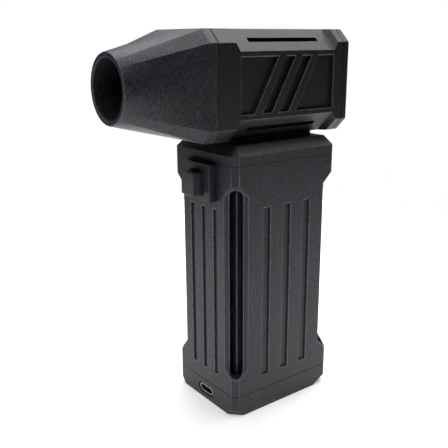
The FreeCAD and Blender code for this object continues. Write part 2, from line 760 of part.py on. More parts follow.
def make_switch():
    middle = "switch_height + bezel_offset"
    bezel = box("bezel_face", ("-bezel_width / 2", "-half_depth - bezel_stand",
                               middle + " - bezel_height / 2"),
                ("bezel_width / 2", "-half_depth", middle + " + bezel_height / 2"))
    neck = box("bezel_neck", ("-flange_x - switch_wall", "-half_depth",
                              "switch_height - flange_z - switch_wall"),
               ("flange_x + switch_wall", "-switch_front", "switch_height + flange_z + switch_wall"))
    window = box("bezel_window", ("-button_width / 2 - button_clearance", "-half_depth - bezel_stand - 1",
                                  "switch_height - button_height / 2 - button_clearance"),
                 ("button_width / 2 + button_clearance", "-switch_front + 1",
                  "switch_height + button_height / 2 + button_clearance"))
    keep("switch_bezel", cut("switch_bezel", fuse("bezel_blank", [bezel, neck]), [window]))

    cap = box("button_cap", ("-button_width / 2", "-half_depth - button_stand",
                             "switch_height - button_height / 2"),
              ("button_width / 2", "-tail_back", "switch_height + button_height / 2"))
    flange = box("button_flange", ("-flange_x", "-switch_front + button_clearance",
                                   "switch_height - flange_z"),
                 ("flange_x", "-tail_back", "switch_height + flange_z"))
    keep("power_button", fuse("power_button", [cap, flange]))

    depth = "spring_length + button_flange_thickness + button_clearance"
    shell = box("switch_outside", ("-switch_inner_x - switch_wall", "-switch_front",
                                   "switch_height - switch_inner_z - switch_wall"),
                ("switch_inner_x + switch_wall", "-switch_front + switch_back + " + depth,
                 "switch_height + switch_inner_z + switch_wall"))
    cavity = box("switch_cavity", ("-switch_inner_x", "-switch_front - 1", "switch_height - switch_inner_z"),
                 ("switch_inner_x", "-switch_front + " + depth, "switch_height + switch_inner_z"))
    keep("switch_body", cut("switch_body", shell, [cavity]))

    coil = document.addObject("Part::Helix", "spring_path")
    bind(coil, "Radius", "spring_radius")
    bind(coil, "Height", "spring_length - spring_wire * 2")
    bind(coil, "Pitch", "(spring_length - spring_wire * 2) / spring_turns")
    coil.SegmentLength = 0.5
    document.recompute()
    start = FreeCAD.Vector(size("spring_radius"), 0, 0)
    wire_end = Part.Wire(Part.makeCircle(size("spring_wire"), start, Y_AXIS))
    spring = document.addObject("Part::Feature", "button_spring")
    spring.Shape = Part.Wire(coil.Shape.Edges).makePipeShell([wire_end], True, True)
    spring.Placement.Rotation = FreeCAD.Rotation(X_AXIS, -90)
    keep("button_spring", place(spring, 0, "-tail_back + spring_wire", "switch_height"))


# Head

def make_fan_housing():
    blank = body("housing_blank", "head_axis")
    outside = outline(sketch(blank, "XZ_Plane", "housing_front"), HEAD_OUTLINE)
    pad(blank, outside, "housing_front + housing_back", reverse=True)
    turned(blank, [("-housing_front - 1", 0), ("housing_back + 1", 0), ("housing_back + 1", "duct_radius"),
                   ("-housing_front - 1", "duct_radius")], "Groove")
    tools = []
    facet = "(head_half - head_corner / 2) * sqrt(2)"
    deep = facet + " - notch_depth"
    for quarter in range(4):
        turn = FreeCAD.Rotation(Y_AXIS, 45 + 90 * quarter)
        notch = body("edge_notch_%d" % quarter)
        notch.Placement.Rotation = turn
        place(notch, 0, 0, "head_axis")
        # along the head's axis by height above it, seen with the facet turned to the top
        section = [("-notch_front", deep), ("notch_back", deep), ("notch_back + notch_ramp", facet),
                   ("notch_back + notch_ramp", facet + " + 3"), ("-notch_front - notch_ramp", facet + " + 3"),
                   ("-notch_front - notch_ramp", facet)]
        pad(notch, outline(sketch(notch, "YZ_Plane"), section), "head_corner * 4").Midplane = True
        slot = body("facet_slot_%d" % quarter)
        slot.Placement.Rotation = turn
        place(slot, 0, 0, "head_axis")
        section = [("-facet_slot_front", deep + " - facet_slot_depth"),
                   ("facet_slot_back", deep + " - facet_slot_depth"),
                   ("facet_slot_back", facet + " + 3"), ("-facet_slot_front", facet + " + 3")]
        pad(slot, outline(sketch(slot, "YZ_Plane"), section), "facet_slot_width").Midplane = True
        tools += [notch, slot]
    tools += panel_recesses() + rear_screw_holes("housing", "rear_screw_length")
    for side in (-1, 1):
        tools.append(rod("neck_bite_hole", "neck_screw_radius", "neck_screw_bite + 1",
                         ("0", "%d * neck_screw_place" % side, "handle_top + neck_gap - 1")))
    tools.append(lead_opening("housing_lead_opening", "head_axis - head_half - 1",
                              "head_axis - duct_radius + 1"))
    keep("fan_housing", cut("fan_housing", blank, tools))


def lead_opening(name, low, high):
    """A slot that lets the three motor leads through a wall."""
    room = "(lead_radius + lead_clearance)"
    return box(name, ("-motor_lead_pitch - " + room, "-motor_lead_place - " + room, low),
               ("motor_lead_pitch + " + room, "-motor_lead_place + " + room, high))


def panel_recesses():
    """The sunk areas that leave three slanted bars standing on each side of the head."""
    low, high = "-panel_half_height", "panel_half_height"
    step = "(bar_width + bar_slot)"
    recesses = [[("-panel_front", low), ("bar_start", low),
                 ("bar_start + bar_lean", high), ("-panel_front", high)]]
    for number in range(2):
        start = "bar_start + bar_width + %d * %s" % (number, step)
        end = start + " + bar_slot"
        recesses.append([(start, low), (end, low),
                         (end + " + bar_lean", high), (start + " + bar_lean", high)])
    start = "bar_start + bar_width + 2 * " + step
    recesses.append([(start, low), ("panel_back", low), ("panel_back", high), (start + " + bar_lean", high)])
    tools = []
    for side, reverse in ((1, False), (-1, True)):
        for number, corners in enumerate(recesses):
            tool = body("recess_%d_%s" % (number, "left" if reverse else "right"), "head_axis")
            inner = "%d * (head_half - panel_depth)" % side
            pad(tool, outline(sketch(tool, "YZ_Plane", inner), corners), "panel_depth + 1", reverse)
            tools.append(tool)
    return tools


def rear_screw_places():
    return [("%d * rear_screw_place" % x, "head_axis + %d * rear_screw_place" % z)
            for x in (-1, 1) for z in (-1, 1)]


def rear_screw_holes(name, length):
    back = "housing_back + rear_cap_thickness"
    return [rod(name + "_screw_hole", "screw_radius", length + " + 1",
                (x, back + " - (%s) - screw_sink" % length, z), "y") for x, z in rear_screw_places()]


def make_rear_cap():
    cap = body("rear_cap_blank", "head_axis")
    outside = outline(sketch(cap, "XZ_Plane", "-housing_back"), HEAD_OUTLINE)
    pad(cap, outside, "rear_cap_thickness", reverse=True)
    turned(cap, washer("duct_back", "housing_back + 1", "duct_bore", "duct_radius"))
    back = "housing_back + rear_cap_thickness"
    # a bell lip widens towards the open air
    turned(cap, [("duct_back - 1", 0), (back + " + 1", 0), (back + " + 1", "duct_radius"),
                 (back, "duct_radius"), (back + " - duct_wall", "duct_bore"), ("duct_back - 1", "duct_bore")],
           "Groove")
    tools = rear_screw_holes("cap", "rear_screw_length")
    screws = []
    for x, z in rear_screw_places():
        start = back + " - screw_head_height - screw_sink"
        tools.append(rod("rear_screw_recess", "screw_head_radius + screw_head_clearance",
                         "screw_head_height + 1", (x, start, z), "y"))
        head = rod("rear_screw_head", "screw_head_radius", "screw_head_height", (x, start, z), "y")
        shank = rod("rear_screw_shank", "screw_radius", "rear_screw_length",
                    (x, back + " - screw_sink - rear_screw_length", z), "y")
        screws.append(fuse("rear_screw", [head, shank]))
    keep("rear_cap", cut("rear_cap", cap, tools))
    keep("rear_screws", group("rear_screws", screws))

    front = "duct_back + guard_seat"
    rims = [turned_body("guard_rim", washer(front, front + " + guard_thickness",
                                            "duct_bore - guard_rim", "duct_bore"))]
    for number in range(1, int(size("guard_rings")) + 1):
        middle = "duct_bore * %d / (guard_rings + 1)" % number
        rims.append(turned_body("guard_ring_%d" % number,
                                washer(front, front + " + guard_thickness",
                                       middle + " - guard_bar / 2", middle + " + guard_bar / 2")))
    spokes = []
    for number in range(int(size("guard_spokes"))):
        spoke = document.addObject("Part::Box", "guard_spoke")
        turn = 360 * number / size("guard_spokes")
        spoke.Placement.Rotation = FreeCAD.Rotation(Y_AXIS, turn)
        bind(spoke, "Length", "guard_bar")
        bind(spoke, "Width", "guard_thickness")
        bind(spoke, "Height", "duct_bore - guard_rim / 2 - duct_bore / (guard_rings + 1)")
        reach = "duct_bore / (guard_rings + 1)"
        place(spoke, "%s * sin(%f) - guard_bar / 2 * cos(%f)" % (reach, turn, turn), "duct_back + guard_seat",
              "head_axis + %s * cos(%f) + guard_bar / 2 * sin(%f)" % (reach, turn, turn))
        spokes.append(spoke)
    keep("intake_guard", fuse("intake_guard", rims + spokes))


def make_nozzle():
    shape = body("nozzle_body", "head_axis")
    band_front = "housing_front + nozzle_band"
    base = outline(sketch(shape, "XZ_Plane", "housing_front"), HEAD_OUTLINE)
    pad(shape, base, "nozzle_band")
    root = outline(sketch(shape, "XZ_Plane", band_front), HEAD_OUTLINE)
    mouth = sketch(shape, "XZ_Plane", "mouth_front")
    split_ring(mouth, "mouth_radius + mouth_rim")
    loft(shape, root, mouth)
    turned(shape, washer("-housing_front - 1", "-duct_front", "duct_bore", "duct_radius"))
    straight = "-(mouth_front - mouth_length)"
    turned(shape, [("-duct_front + 1", 0), ("-duct_front + 1", "duct_bore"),
                   ("-housing_front - nozzle_cone_start", "duct_bore"), (straight, "mouth_radius"),
                   ("-mouth_front - 1", "mouth_radius"), ("-mouth_front - 1", 0)],
           "Groove")
    seal = "-(housing_front - spigot_length / 2)"
    turned(shape, washer(seal + " - seal_section * 1.3", seal + " + seal_section * 1.3",
                         "duct_radius - seal_section * 2", "duct_radius + 1"), "Groove")
    keep("nozzle", shape)
    ring_seal = document.addObject("Part::Torus", "nozzle_seal")
    ring_seal.Placement.Rotation = FreeCAD.Rotation(X_AXIS, -90)
    bind(ring_seal, "Radius1", "duct_radius - seal_section")
    bind(ring_seal, "Radius2", "seal_section")
    keep("nozzle_seal", place(ring_seal, 0, seal, "head_axis"))


def split_ring(item, radius):
    """A circle made of eight arcs, split where the octagon's corners run out at the mouth."""
    reach = size("mouth_radius") + size("mouth_rim")
    half, leg = size("head_half"), size("head_corner")
    corner = math.atan2(half - leg, half)
    splits = []
    for quarter in range(4):
        splits += [quarter * math.pi / 2 + corner, (quarter + 1) * math.pi / 2 - corner]
    first = item.GeometryCount
    for turn, angle in enumerate(splits):
        end = splits[(turn + 1) % 8] + (2 * math.pi if turn == 7 else 0)
        circle = Part.Circle(FreeCAD.Vector(0, 0, 0), Z_AXIS, reach)
        item.addGeometry(Part.ArcOfCircle(circle, angle, end), False)
    for turn in range(8):
        item.addConstraint(Sketcher.Constraint("Coincident", first + turn, 2, first + (turn + 1) % 8, 1))
        # the last arc's centre follows from its ends and its radius
        if turn < 7:
            item.addConstraint(Sketcher.Constraint("Coincident", first + turn, 3, -1, 1))
    item.addConstraint(Sketcher.Constraint("Equal", first, first + 7))
    index = item.addConstraint(Sketcher.Constraint("Radius", first, reach))
    bind(item, "Constraints[%d]" % index, radius)


# Fan and motor, all on the head's axis

def make_fan_duct():
    duct = body("duct_tube", "head_axis")
    turned(duct, washer("-duct_front", "duct_back", "duct_bore", "duct_radius"))
    pod = turned_body("pod", [("-pod_front", "bearing_radius"), ("-pod_front + pod_floor", "bearing_radius"),
                              ("-pod_front + pod_floor", "pod_radius - pod_wall"),
                              ("pod_back", "pod_radius - pod_wall"), ("pod_back", "pod_radius"),
                              ("-pod_front", "pod_radius")])
    vanes = []
    for number in range(int(size("vane_count"))):
        vane = document.addObject("Part::Box", "stator_vane")
        turn = 180 + 360 * number / size("vane_count")
        vane.Placement.Rotation = FreeCAD.Rotation(Y_AXIS, turn)
        bind(vane, "Length", "vane_thickness")
        bind(vane, "Width", "vane_front + vane_back")
        bind(vane, "Height", "duct_bore - pod_radius + 1")
        reach = "(pod_radius - 0.5)"
        place(vane, "%s * sin(%f) - vane_thickness / 2 * cos(%f)" % (reach, turn, turn), "-vane_front",
              "head_axis + %s * cos(%f) + vane_thickness / 2 * sin(%f)" % (reach, turn, turn))
        vanes.append(vane)
    tools = [lead_opening("duct_lead_opening", "head_axis - duct_radius - 1", "head_axis - duct_bore + 1"),
             lead_opening("pod_lead_opening", "head_axis - pod_radius - 1",
                          "head_axis - pod_radius + pod_wall + 1")]
    keep("fan_duct", cut("fan_duct", fuse("duct_blank", [duct, pod] + vanes), tools))
    keep("tail_cone", dome("tail_cone", "pod_radius", "tail_length", "-pod_front", 90))


def make_motor():
    front = "-pod_front + pod_floor"
    bore = "bearing_radius"
    tube_back = "core_middle + core_length / 2 + bearing_width"
    keep("motor_mount", turned_body("motor_mount", [
        (front, bore), (tube_back, bore), (tube_back, "tube_radius"), ("mount_back", "tube_radius"),
        ("mount_back", "pod_radius - pod_wall - mount_clearance"),
        (front, "pod_radius - pod_wall - mount_clearance")]))
    inner = "shaft_radius + bearing_clearance"
    for name, start, end in (("front_bearing", front, front + " + bearing_width"),
                             ("rear_bearing", tube_back + " - bearing_width", tube_back)):
        keep(name, turned_body(name, washer(start, end, inner, bore)))

    core_front, core_back = "core_middle - core_length / 2", "core_middle + core_length / 2"
    core_items = [turned_body("core_ring", washer(core_front, core_back, "tube_radius",
                                                  "tube_radius + core_ring_wall"))]
    coils = []
    for number in range(int(size("tooth_count"))):
        turn = 360 * number / size("tooth_count")
        tooth = radial_block("tooth", turn, "tooth_width", core_front, core_back,
                             "tube_radius + core_ring_wall / 2", "core_radius - shoe_height / 2")
        core_items.append(tooth)
        outside = radial_block("coil_outside", turn, "tooth_width + coil_thickness * 2",
                               core_front + " - coil_thickness", core_back + " + coil_thickness",
                               "tube_radius + core_ring_wall * 1.3", "core_radius - shoe_height * 1.3")
        inside = radial_block("coil_inside", turn, "tooth_width", core_front, core_back,
                              "tube_radius + core_ring_wall", "core_radius - shoe_height")
        coils.append(cut("coil", outside, [inside]))
        shoe = turned_sector("shoe", core_front, core_back, "core_radius - shoe_height", "core_radius",
                             turn, 360 / size("tooth_count") * size("shoe_share"))
        core_items.append(shoe)
    keep("motor_stator", fuse("motor_stator", core_items))
    keep("motor_windings", group("motor_windings", coils))

    magnets = []
    for number in range(int(size("magnet_count"))):
        turn = 360 * number / size("magnet_count")
        sweep = 360 / size("magnet_count") * size("magnet_share")
        magnets.append(turned_sector("magnet", core_front, core_back, "magnet_radius - magnet_thickness",
                                     "magnet_radius", turn, sweep))
    keep("rotor_magnets", group("rotor_magnets", magnets))
    rim = core_front + " - magnet_thickness / 2"
    keep("motor_bell", turned_body("motor_bell", [
        (rim, "magnet_radius"), ("bell_back - bell_floor", "magnet_radius"),
        ("bell_back - bell_floor", "shaft_radius"),
        ("hub_front - hub_gap", "shaft_radius"), ("hub_front - hub_gap", "bearing_radius"),
        ("bell_back", "bearing_radius"), ("bell_back", "bell_radius"), (rim, "bell_radius")]))


def turned_sector(name, front, back, inner, outer, middle, sweep):
    """A slice of a ring, sweep degrees wide about the angle middle."""
    item = body(name, "head_axis")
    profile = outline(sketch(item, "YZ_Plane"), washer(front, back, inner, outer))
    slice_ = item.newObject("PartDesign::Revolution", item.Name + "_slice")
    slice_.Profile = profile
    slice_.ReferenceAxis = (profile, ["H_Axis"])
    slice_.Angle = sweep
    slice_.Midplane = True
    item.Placement.Rotation = FreeCAD.Rotation(Y_AXIS, middle)
    return place(item, 0, 0, "head_axis")


def radial_block(name, turn, width, front, back, inner, outer):
    """A block that stands out from the head's axis at an angle."""
    item = document.addObject("Part::Box", name)
    item.Placement.Rotation = FreeCAD.Rotation(Y_AXIS, turn)
    bind(item, "Length", width)
    bind(item, "Width", "(%s) - (%s)" % (back, front))
    bind(item, "Height", "(%s) - (%s)" % (outer, inner))
    return place(item, "(%s) * sin(%f) - (%s) / 2 * cos(%f)" % (inner, turn, width, turn), front,
                 "head_axis + (%s) * cos(%f) + (%s) / 2 * sin(%f)" % (inner, turn, width, turn))


def make_rotor():
    shaft_front = "-pod_front + pod_floor + shaft_overhang"
    shaft_back = "hub_back + nut_height + shaft_overhang"
    keep("motor_shaft", turned_body("motor_shaft", washer(shaft_front, shaft_back, 0, "shaft_radius")))
    hub = turned_body("impeller_hub", [
        ("hub_front - hub_gap", "shaft_radius"), ("hub_back", "shaft_radius"), ("hub_back", "pod_radius"),
        ("hub_front", "pod_radius"), ("hub_front", "tube_radius"), ("hub_front - hub_gap", "bearing_radius")])
    keep("impeller", fuse("impeller", [hub] + [blade(number) for number in range(int(size("blade_count")))]))
    nose = dome("nose", "pod_radius", "spinner_length", "hub_back", -90)
    room = rod("nose_room", "nut_flats * 0.65", "nut_height + 1", ("0", "hub_back - 0.5", "head_axis"), "y")
    keep("spinner", cut("spinner", nose, [room]))
    nut = document.addObject("Part::Prism", "nut_blank")
    nut.Polygon = 6
    nut.Placement.Rotation = FreeCAD.Rotation(X_AXIS, -90)
    bind(nut, "Circumradius", "nut_flats / sqrt(3)")
    bind(nut, "Height", "nut_height")
    place(nut, 0, "hub_back", "head_axis")
    hole = rod("nut_hole", "shaft_radius", "nut_height + 2", ("0", "hub_back - 1", "head_axis"), "y")
    keep("shaft_nut", cut("shaft_nut", nut, [hole]))


def blade(number):
    """A twisted blade: a thin rectangle that turns and shortens from hub to tip."""
    turn = 360 * number / size("blade_count")
    middle = (size("hub_front") + size("hub_back")) / 2
    root = size("pod_radius") - size("blade_bite")
    sections = []
    for share in (0.0, 0.5, 1.0):
        angle = size("blade_root_angle") + share * (size("blade_tip_angle") - size("blade_root_angle"))
        chord = size("blade_root_chord") + share * (size("blade_tip_chord") - size("blade_root_chord"))
        reach = root + share * (size("tip_radius") - root)
        along = math.cos(math.radians(90 - angle)) * chord / 2
        across = math.sin(math.radians(90 - angle)) * chord / 2
        thick = size("blade_thickness") / 2
        normal_along = math.sin(math.radians(90 - angle)) * thick
        normal_across = -math.cos(math.radians(90 - angle)) * thick
        corners = []
        for end, face in ((-1, -1), (1, -1), (1, 1), (-1, 1)):
            corners.append(FreeCAD.Vector(end * across + face * normal_across,
                                          middle + end * along + face * normal_along, reach))
        sections.append(Part.makePolygon(corners + corners[:1]))
    item = document.addObject("Part::Feature", "blade_blank")
    item.Shape = Part.makeLoft(sections, True, False)
    item.Placement.Rotation = FreeCAD.Rotation(Y_AXIS, turn)
    place(item, 0, 0, "head_axis")
    # the tips are turned round to the fan's radius
    limit = turned_body("blade_limit", [("hub_front", 0), ("hub_back", 0), ("hub_back", "tip_radius"),
                                        ("hub_front", "tip_radius")])
    trimmed = document.addObject("Part::Common", "blade")
    trimmed.Base = item
    trimmed.Tool = limit
    return trimmed


make_handle_shell()
make_top_cap()
make_bottom_cap()
make_neck()
make_battery()
make_electronics()
make_switch()
make_fan_housing()
make_rear_cap()
make_nozzle()
make_fan_duct()
make_motor()
make_rotor()
document.recompute()

for item in document.Objects:
    if "Invalid" in item.State or "Error" in item.State:
        raise RuntimeError("%s did not rebuild: %s" % (item.Label, item.State))

os.makedirs("parts", exist_ok=True)
for node, item in parts.items():
    if item.Shape.isNull() or not item.Shape.isValid() or not item.Shape.Solids:
        raise RuntimeError(node + " has no valid solid")
    item.Shape.exportStep("parts/%s.step" % node)
    print(node, len(item.Shape.Solids), "solids")
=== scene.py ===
import json
import math

import bmesh
import bpy
import numpy as np
from mathutils import Matrix, Vector


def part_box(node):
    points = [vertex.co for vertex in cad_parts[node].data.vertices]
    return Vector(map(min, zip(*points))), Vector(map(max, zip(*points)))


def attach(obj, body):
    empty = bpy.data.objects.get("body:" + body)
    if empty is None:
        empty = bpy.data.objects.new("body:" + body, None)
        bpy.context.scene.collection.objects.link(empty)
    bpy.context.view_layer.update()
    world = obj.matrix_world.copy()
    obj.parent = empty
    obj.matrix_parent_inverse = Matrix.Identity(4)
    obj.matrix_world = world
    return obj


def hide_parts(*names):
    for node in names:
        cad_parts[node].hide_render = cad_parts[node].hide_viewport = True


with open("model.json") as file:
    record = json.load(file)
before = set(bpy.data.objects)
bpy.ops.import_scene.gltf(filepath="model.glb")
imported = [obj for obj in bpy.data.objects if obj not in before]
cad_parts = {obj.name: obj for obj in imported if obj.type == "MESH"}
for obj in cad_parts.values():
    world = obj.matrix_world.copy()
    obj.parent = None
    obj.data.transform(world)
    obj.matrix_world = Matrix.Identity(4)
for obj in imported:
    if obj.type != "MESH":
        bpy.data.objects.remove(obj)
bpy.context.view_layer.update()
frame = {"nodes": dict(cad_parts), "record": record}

# Hand-held turbo blower: octagonal fan head with a tapering nozzle on an upright grooved handle.
# Lengths in this file are millimetres until a mesh is written; the frame and the meshes are metres.

mm = 0.001


def nodeBox(node):
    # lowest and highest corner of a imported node, in millimetres
    low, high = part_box(node)
    return np.array(low) / mm, np.array(high) / mm


housingLow, housingHigh = nodeBox("fan_housing")
shellLow, shellHigh = nodeBox("handle_shell")
nozzleLow, nozzleHigh = nodeBox("nozzle")
headAxis = (housingLow[2] + housingHigh[2]) / 2      # height of the fan's axis
headHalf = (housingHigh[2] - housingLow[2]) / 2
handleHalf = np.array([shellHigh[0], shellHigh[1]])


def addPiece(name, points, faces, body, material, replaces=(), wornAndLit=None):
    mesh = bpy.data.meshes.new(name)
    mesh.from_pydata((np.asarray(points).reshape(-1, 3) * mm).tolist(), [], faces)
    if wornAndLit is not None:
        # 1 on the narrow faces along edges, which are painted pale as a painted edge highlight with some
        # edge wear, 0 elsewhere
        share = np.zeros(len(faces), np.float32)
        share[:len(wornAndLit)] = wornAndLit
        mesh.attributes.new("highlightAndWear", "FLOAT", "FACE").data.foreach_set("value", share)
    mesh.validate()
    mesh.shade_smooth()
    mesh.set_sharp_from_angle(angle=math.radians(32))
    piece = bpy.data.objects.new(name, mesh)
    bpy.context.collection.objects.link(piece)
    mesh.materials.append(material)
    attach(piece, body)
    if replaces:
        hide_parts(*replaces)
    return piece


def gridFaces(rows, columns, wrapRows=False, closed=True, keep=None, first=0, flip=False):
    # quads between neighbouring rows and columns of a grid; keep is a mask of the quads that stay
    row = np.arange(rows if wrapRows else rows - 1)[:, None]
    column = np.arange(columns if closed else columns - 1)[None, :]
    nextRow = (row + 1) % rows
    nextColumn = (column + 1) % columns
    quads = np.stack([row * columns + column, row * columns + nextColumn,
                      nextRow * columns + nextColumn, nextRow * columns + column], axis=-1) + first
    if keep is not None:
        quads = quads[keep]
    quads = quads.reshape(-1, 4)
    return (quads[:, ::-1] if flip else quads).tolist()


def weighNormals(piece):
    # large flats keep their own normals, so only the rounded edges shade as curves
    piece.modifiers.new("weigh normals", "WEIGHTED_NORMAL").keep_sharp = True
    return piece


def toHandle(section, heights):
    # section points (x, y) stacked at heights up +Z
    return np.concatenate([section, np.broadcast_to(heights, section.shape[:2])[..., None]], axis=-1)


def toHead(section, reach):
    # section points (x, height above the axis) stacked along -Y by reach
    x, up = section[..., 0], section[..., 1] + headAxis
    return np.stack([x, -np.broadcast_to(reach, x.shape), up], axis=-1)


arcSteps = 4
flatNormals = [np.array([math.cos(turn), math.sin(turn)]) for turn in np.arange(8) * math.pi / 4]


def octagonSection(halfA, halfB, leg, rounding, inner, depth=None, shift=None):
    # Ring of eight flats with rounded edges, one ring per row. Flat k has the unit normal n at 45k degrees
    # and the tangent t; its points are middle + q t - depth n, with q running from edge to edge through the
    # inner columns. The points of the arc after it are centre + r (cos f n + sin f t), f from 0 to 45
    # degrees.
    # Also returned: where each flat starts, and the shift and depth of every column.
    halfA, halfB, leg, rounding = np.broadcast_arrays(*np.atleast_1d(halfA, halfB, leg, rounding))
    rows = len(halfA)
    trim = rounding * math.tan(math.pi / 8)
    parts, starts, slide, depths = [], [], [], []
    count = 0
    for k in range(8):
        n = flatNormals[k]
        t = np.array([-n[1], n[0]])
        if k % 2:
            middle = np.sign(n) * (np.stack([halfA, halfB], axis=-1) - leg[:, None] / 2)
            edge = leg / math.sqrt(2)
        else:
            middle = np.round(n) * np.stack([halfA, halfB], axis=-1)
            edge = (halfB if k % 4 == 0 else halfA) - leg
        edge = np.maximum(edge - trim, 0.01)
        columns = np.broadcast_to(inner[k], (rows, np.shape(inner[k])[-1]))
        q = np.concatenate([-edge[:, None], columns, edge[:, None]], axis=1)
        sunk = np.zeros_like(q) if depth is None or depth[k] is None else depth[k]
        flat = middle[:, None, :] + q[..., None] * t - sunk[..., None] * n
        centre = flat[:, -1] - rounding[:, None] * n
        turn = (np.arange(1, arcSteps) * math.pi / 4 / arcSteps)[None, :, None]
        arc = centre[:, None, :] + rounding[:, None, None] * (np.cos(turn) * n + np.sin(turn) * t)
        starts.append(count)
        count += q.shape[1] + arcSteps - 1
        parts += [flat, arc]
        offset = np.zeros_like(q) if shift is None or shift[k] is None else shift[k]
        slide += [offset, np.zeros((rows, arcSteps - 1))]
        depths += [np.broadcast_to(sunk, q.shape), np.zeros((rows, arcSteps - 1))]
    points, slide, depths = [np.concatenate(each, axis=1) for each in (parts, slide, depths)]
    return points, starts, slide, depths


def highlighted(depths, most, starts, arcHighlight):
    # how pale each quad of a closed grid is painted, a painted edge highlight with some edge wear: 1 on the
    # shallow sloping brim of a recess, found by its middle depth, and the given share on the arcs between
    # the flats
    ahead = np.roll(depths, -1, axis=1)
    middle = (depths[:-1] + depths[1:] + ahead[:-1] + ahead[1:]) / 4
    wornAndLit = ((middle > 0.001) & (middle < most)).astype(float)
    ends = np.array(starts[1:] + [depths.shape[1]])
    for step in range(arcSteps):
        wornAndLit[:, ends - 1 - step] = arcHighlight
    return wornAndLit


def onCircle(section, radius):
    # the same columns on a circle, each at its own angle
    angle = np.arctan2(section[..., 1], section[..., 0])
    return np.stack([radius * np.cos(angle), radius * np.sin(angle)], axis=-1)


def linear(hexColor):
    # sRGB hex to the linear values that shaders work in
    values = [int(hexColor[i:i + 2], 16) / 255 for i in (1, 3, 5)]
    return [v / 12.92 if v <= 0.04045 else ((v + 0.055) / 1.055) ** 2.4 for v in values] + [1.0]


def addNode(tree, kind, settings, links=()):
    # one node with its settings, and links given as (input, output socket)
    node = tree.nodes.new("ShaderNode" + kind)
    for name, value in settings.items():
        if isinstance(name, int) or name in node.inputs:
            node.inputs[name].default_value = value
        else:
            setattr(node, name, value)
    for name, source in links:
        tree.links.new(source, node.inputs[name])
    return node


def newMaterial(name):
    material = bpy.data.materials.new(name)
    material.use_nodes = True
    tree = material.node_tree
    tree.nodes.clear()
    output = addNode(tree, "OutputMaterial", {})
    place = addNode(tree, "TexCoord", {}).outputs["Object"]
    return material, tree, output, place


def perMetre(size):
    # Noise Texture scale for features of a size in millimetres
    return 1 / (size * mm)


def grainPlastic(name, look):
    # Dyed polyamide, laser sintered: a dry matte skin of fused powder grains that sparkles a little.
    # The real grain is 0.1 mm; it is drawn near half a millimetre so that it shows at arm's length.
    material, tree, output, place = newMaterial(name)
    grain = addNode(tree, "TexNoise", {"Scale": perMetre(look["grain"]), "Detail": 2.5, "Roughness": 0.62},
                    [("Vector", place)])
    # each fused grain has a brightness of its own, partly grain tone and partly a painted glint, added to
    # the soft noise
    cells = addNode(tree, "TexVoronoi", {"Scale": perMetre(look["cell"])}, [("Vector", place)])
    each = addNode(tree, "SeparateColor", {}, [("Color", cells.outputs["Color"])])
    height = addNode(tree, "Math", {"operation": "MULTIPLY_ADD", 1: look["glint"]},
                     [(0, each.outputs["Red"]), (2, grain.outputs["Fac"])])
    patch = addNode(tree, "TexNoise", {"Scale": perMetre(look["patch"]), "Detail": 3.0},
                    [("Vector", place)])
    speckle = addNode(tree, "ValToRGB", {}, [("Fac", height.outputs["Value"])])
    ramp = speckle.color_ramp
    ramp.elements[0].position, ramp.elements[1].position = look["speckleFrom"], look["speckleTo"]
    ramp.elements[0].color, ramp.elements[1].color = linear(look["dark"]), linear(look["light"])
    cloud = addNode(tree, "MapRange", {"From Min": 0.3, "From Max": 0.7, "To Min": 0.88, "To Max": 1.1},
                    [("Value", patch.outputs["Fac"])])
    tint = addNode(tree, "VectorMath", {"operation": "SCALE"},
                   [("Vector", speckle.outputs["Color"]), ("Scale", cloud.outputs["Result"])])
    # faces marked by the attribute are mixed towards the pale colour, broken up by the grain: a painted
    # edge highlight with some edge wear
    highlightAndWear = addNode(tree, "Attribute", {"attribute_name": "highlightAndWear"})
    broken = addNode(tree, "MapRange", {"From Min": 0.4, "From Max": 0.62, "To Min": 0.15, "To Max": 1.0},
                     [("Value", grain.outputs["Fac"])])
    edgeLight = addNode(tree, "Math", {"operation": "MULTIPLY"},
                  [(0, highlightAndWear.outputs["Fac"]), (1, broken.outputs["Result"])])
    pale = addNode(tree, "MixRGB", {"Color2": linear(look["wornAndLit"])},
                   [("Fac", edgeLight.outputs["Value"]), ("Color1", tint.outputs["Vector"])])
    rough = addNode(tree, "MapRange", {"From Min": 0.3, "From Max": 0.7, "To Min": look["rough"] - 0.08,
                                       "To Max": look["rough"] + 0.08}, [("Value", grain.outputs["Fac"])])
    bump = addNode(tree, "Bump", {"Strength": look["bump"], "Distance": look["rise"] * mm},
                   [("Height", height.outputs["Value"])])
    shader = addNode(tree, "BsdfPrincipled", {"IOR": 1.5},
                     [("Base Color", pale.outputs["Color"]), ("Roughness", rough.outputs["Result"]),
                      ("Normal", bump.outputs["Normal"])])
    tree.links.new(shader.outputs["BSDF"], output.inputs["Surface"])
    return material


def mouldedPlastic(name, look):
    # Injection-moulded ABS or nylon with a fine spark-eroded texture: satin, even colour, faint mottling.
    material, tree, output, place = newMaterial(name)
    texture = addNode(tree, "TexNoise", {"Scale": perMetre(look["grain"]), "Detail": 2.0},
                      [("Vector", place)])
    mottle = addNode(tree, "TexNoise", {"Scale": perMetre(6.0), "Detail": 2.0}, [("Vector", place)])
    tint = addNode(tree, "ValToRGB", {}, [("Fac", mottle.outputs["Fac"])])
    tint.color_ramp.elements[0].position, tint.color_ramp.elements[1].position = 0.3, 0.72
    tint.color_ramp.elements[0].color = linear(look["dark"])
    tint.color_ramp.elements[1].color = linear(look["light"])
    rough = addNode(tree, "MapRange", {"To Min": look["rough"] - 0.06, "To Max": look["rough"] + 0.08},
                    [("Value", texture.outputs["Fac"])])
    bump = addNode(tree, "Bump", {"Strength": look["bump"], "Distance": 0.06 * mm},
                   [("Height", texture.outputs["Fac"])])
    shader = addNode(tree, "BsdfPrincipled", {"IOR": 1.5},
                     [("Base Color", tint.outputs["Color"]), ("Roughness", rough.outputs["Result"]),
                      ("Normal", bump.outputs["Normal"])])
    tree.links.new(shader.outputs["BSDF"], output.inputs["Surface"])
    return material


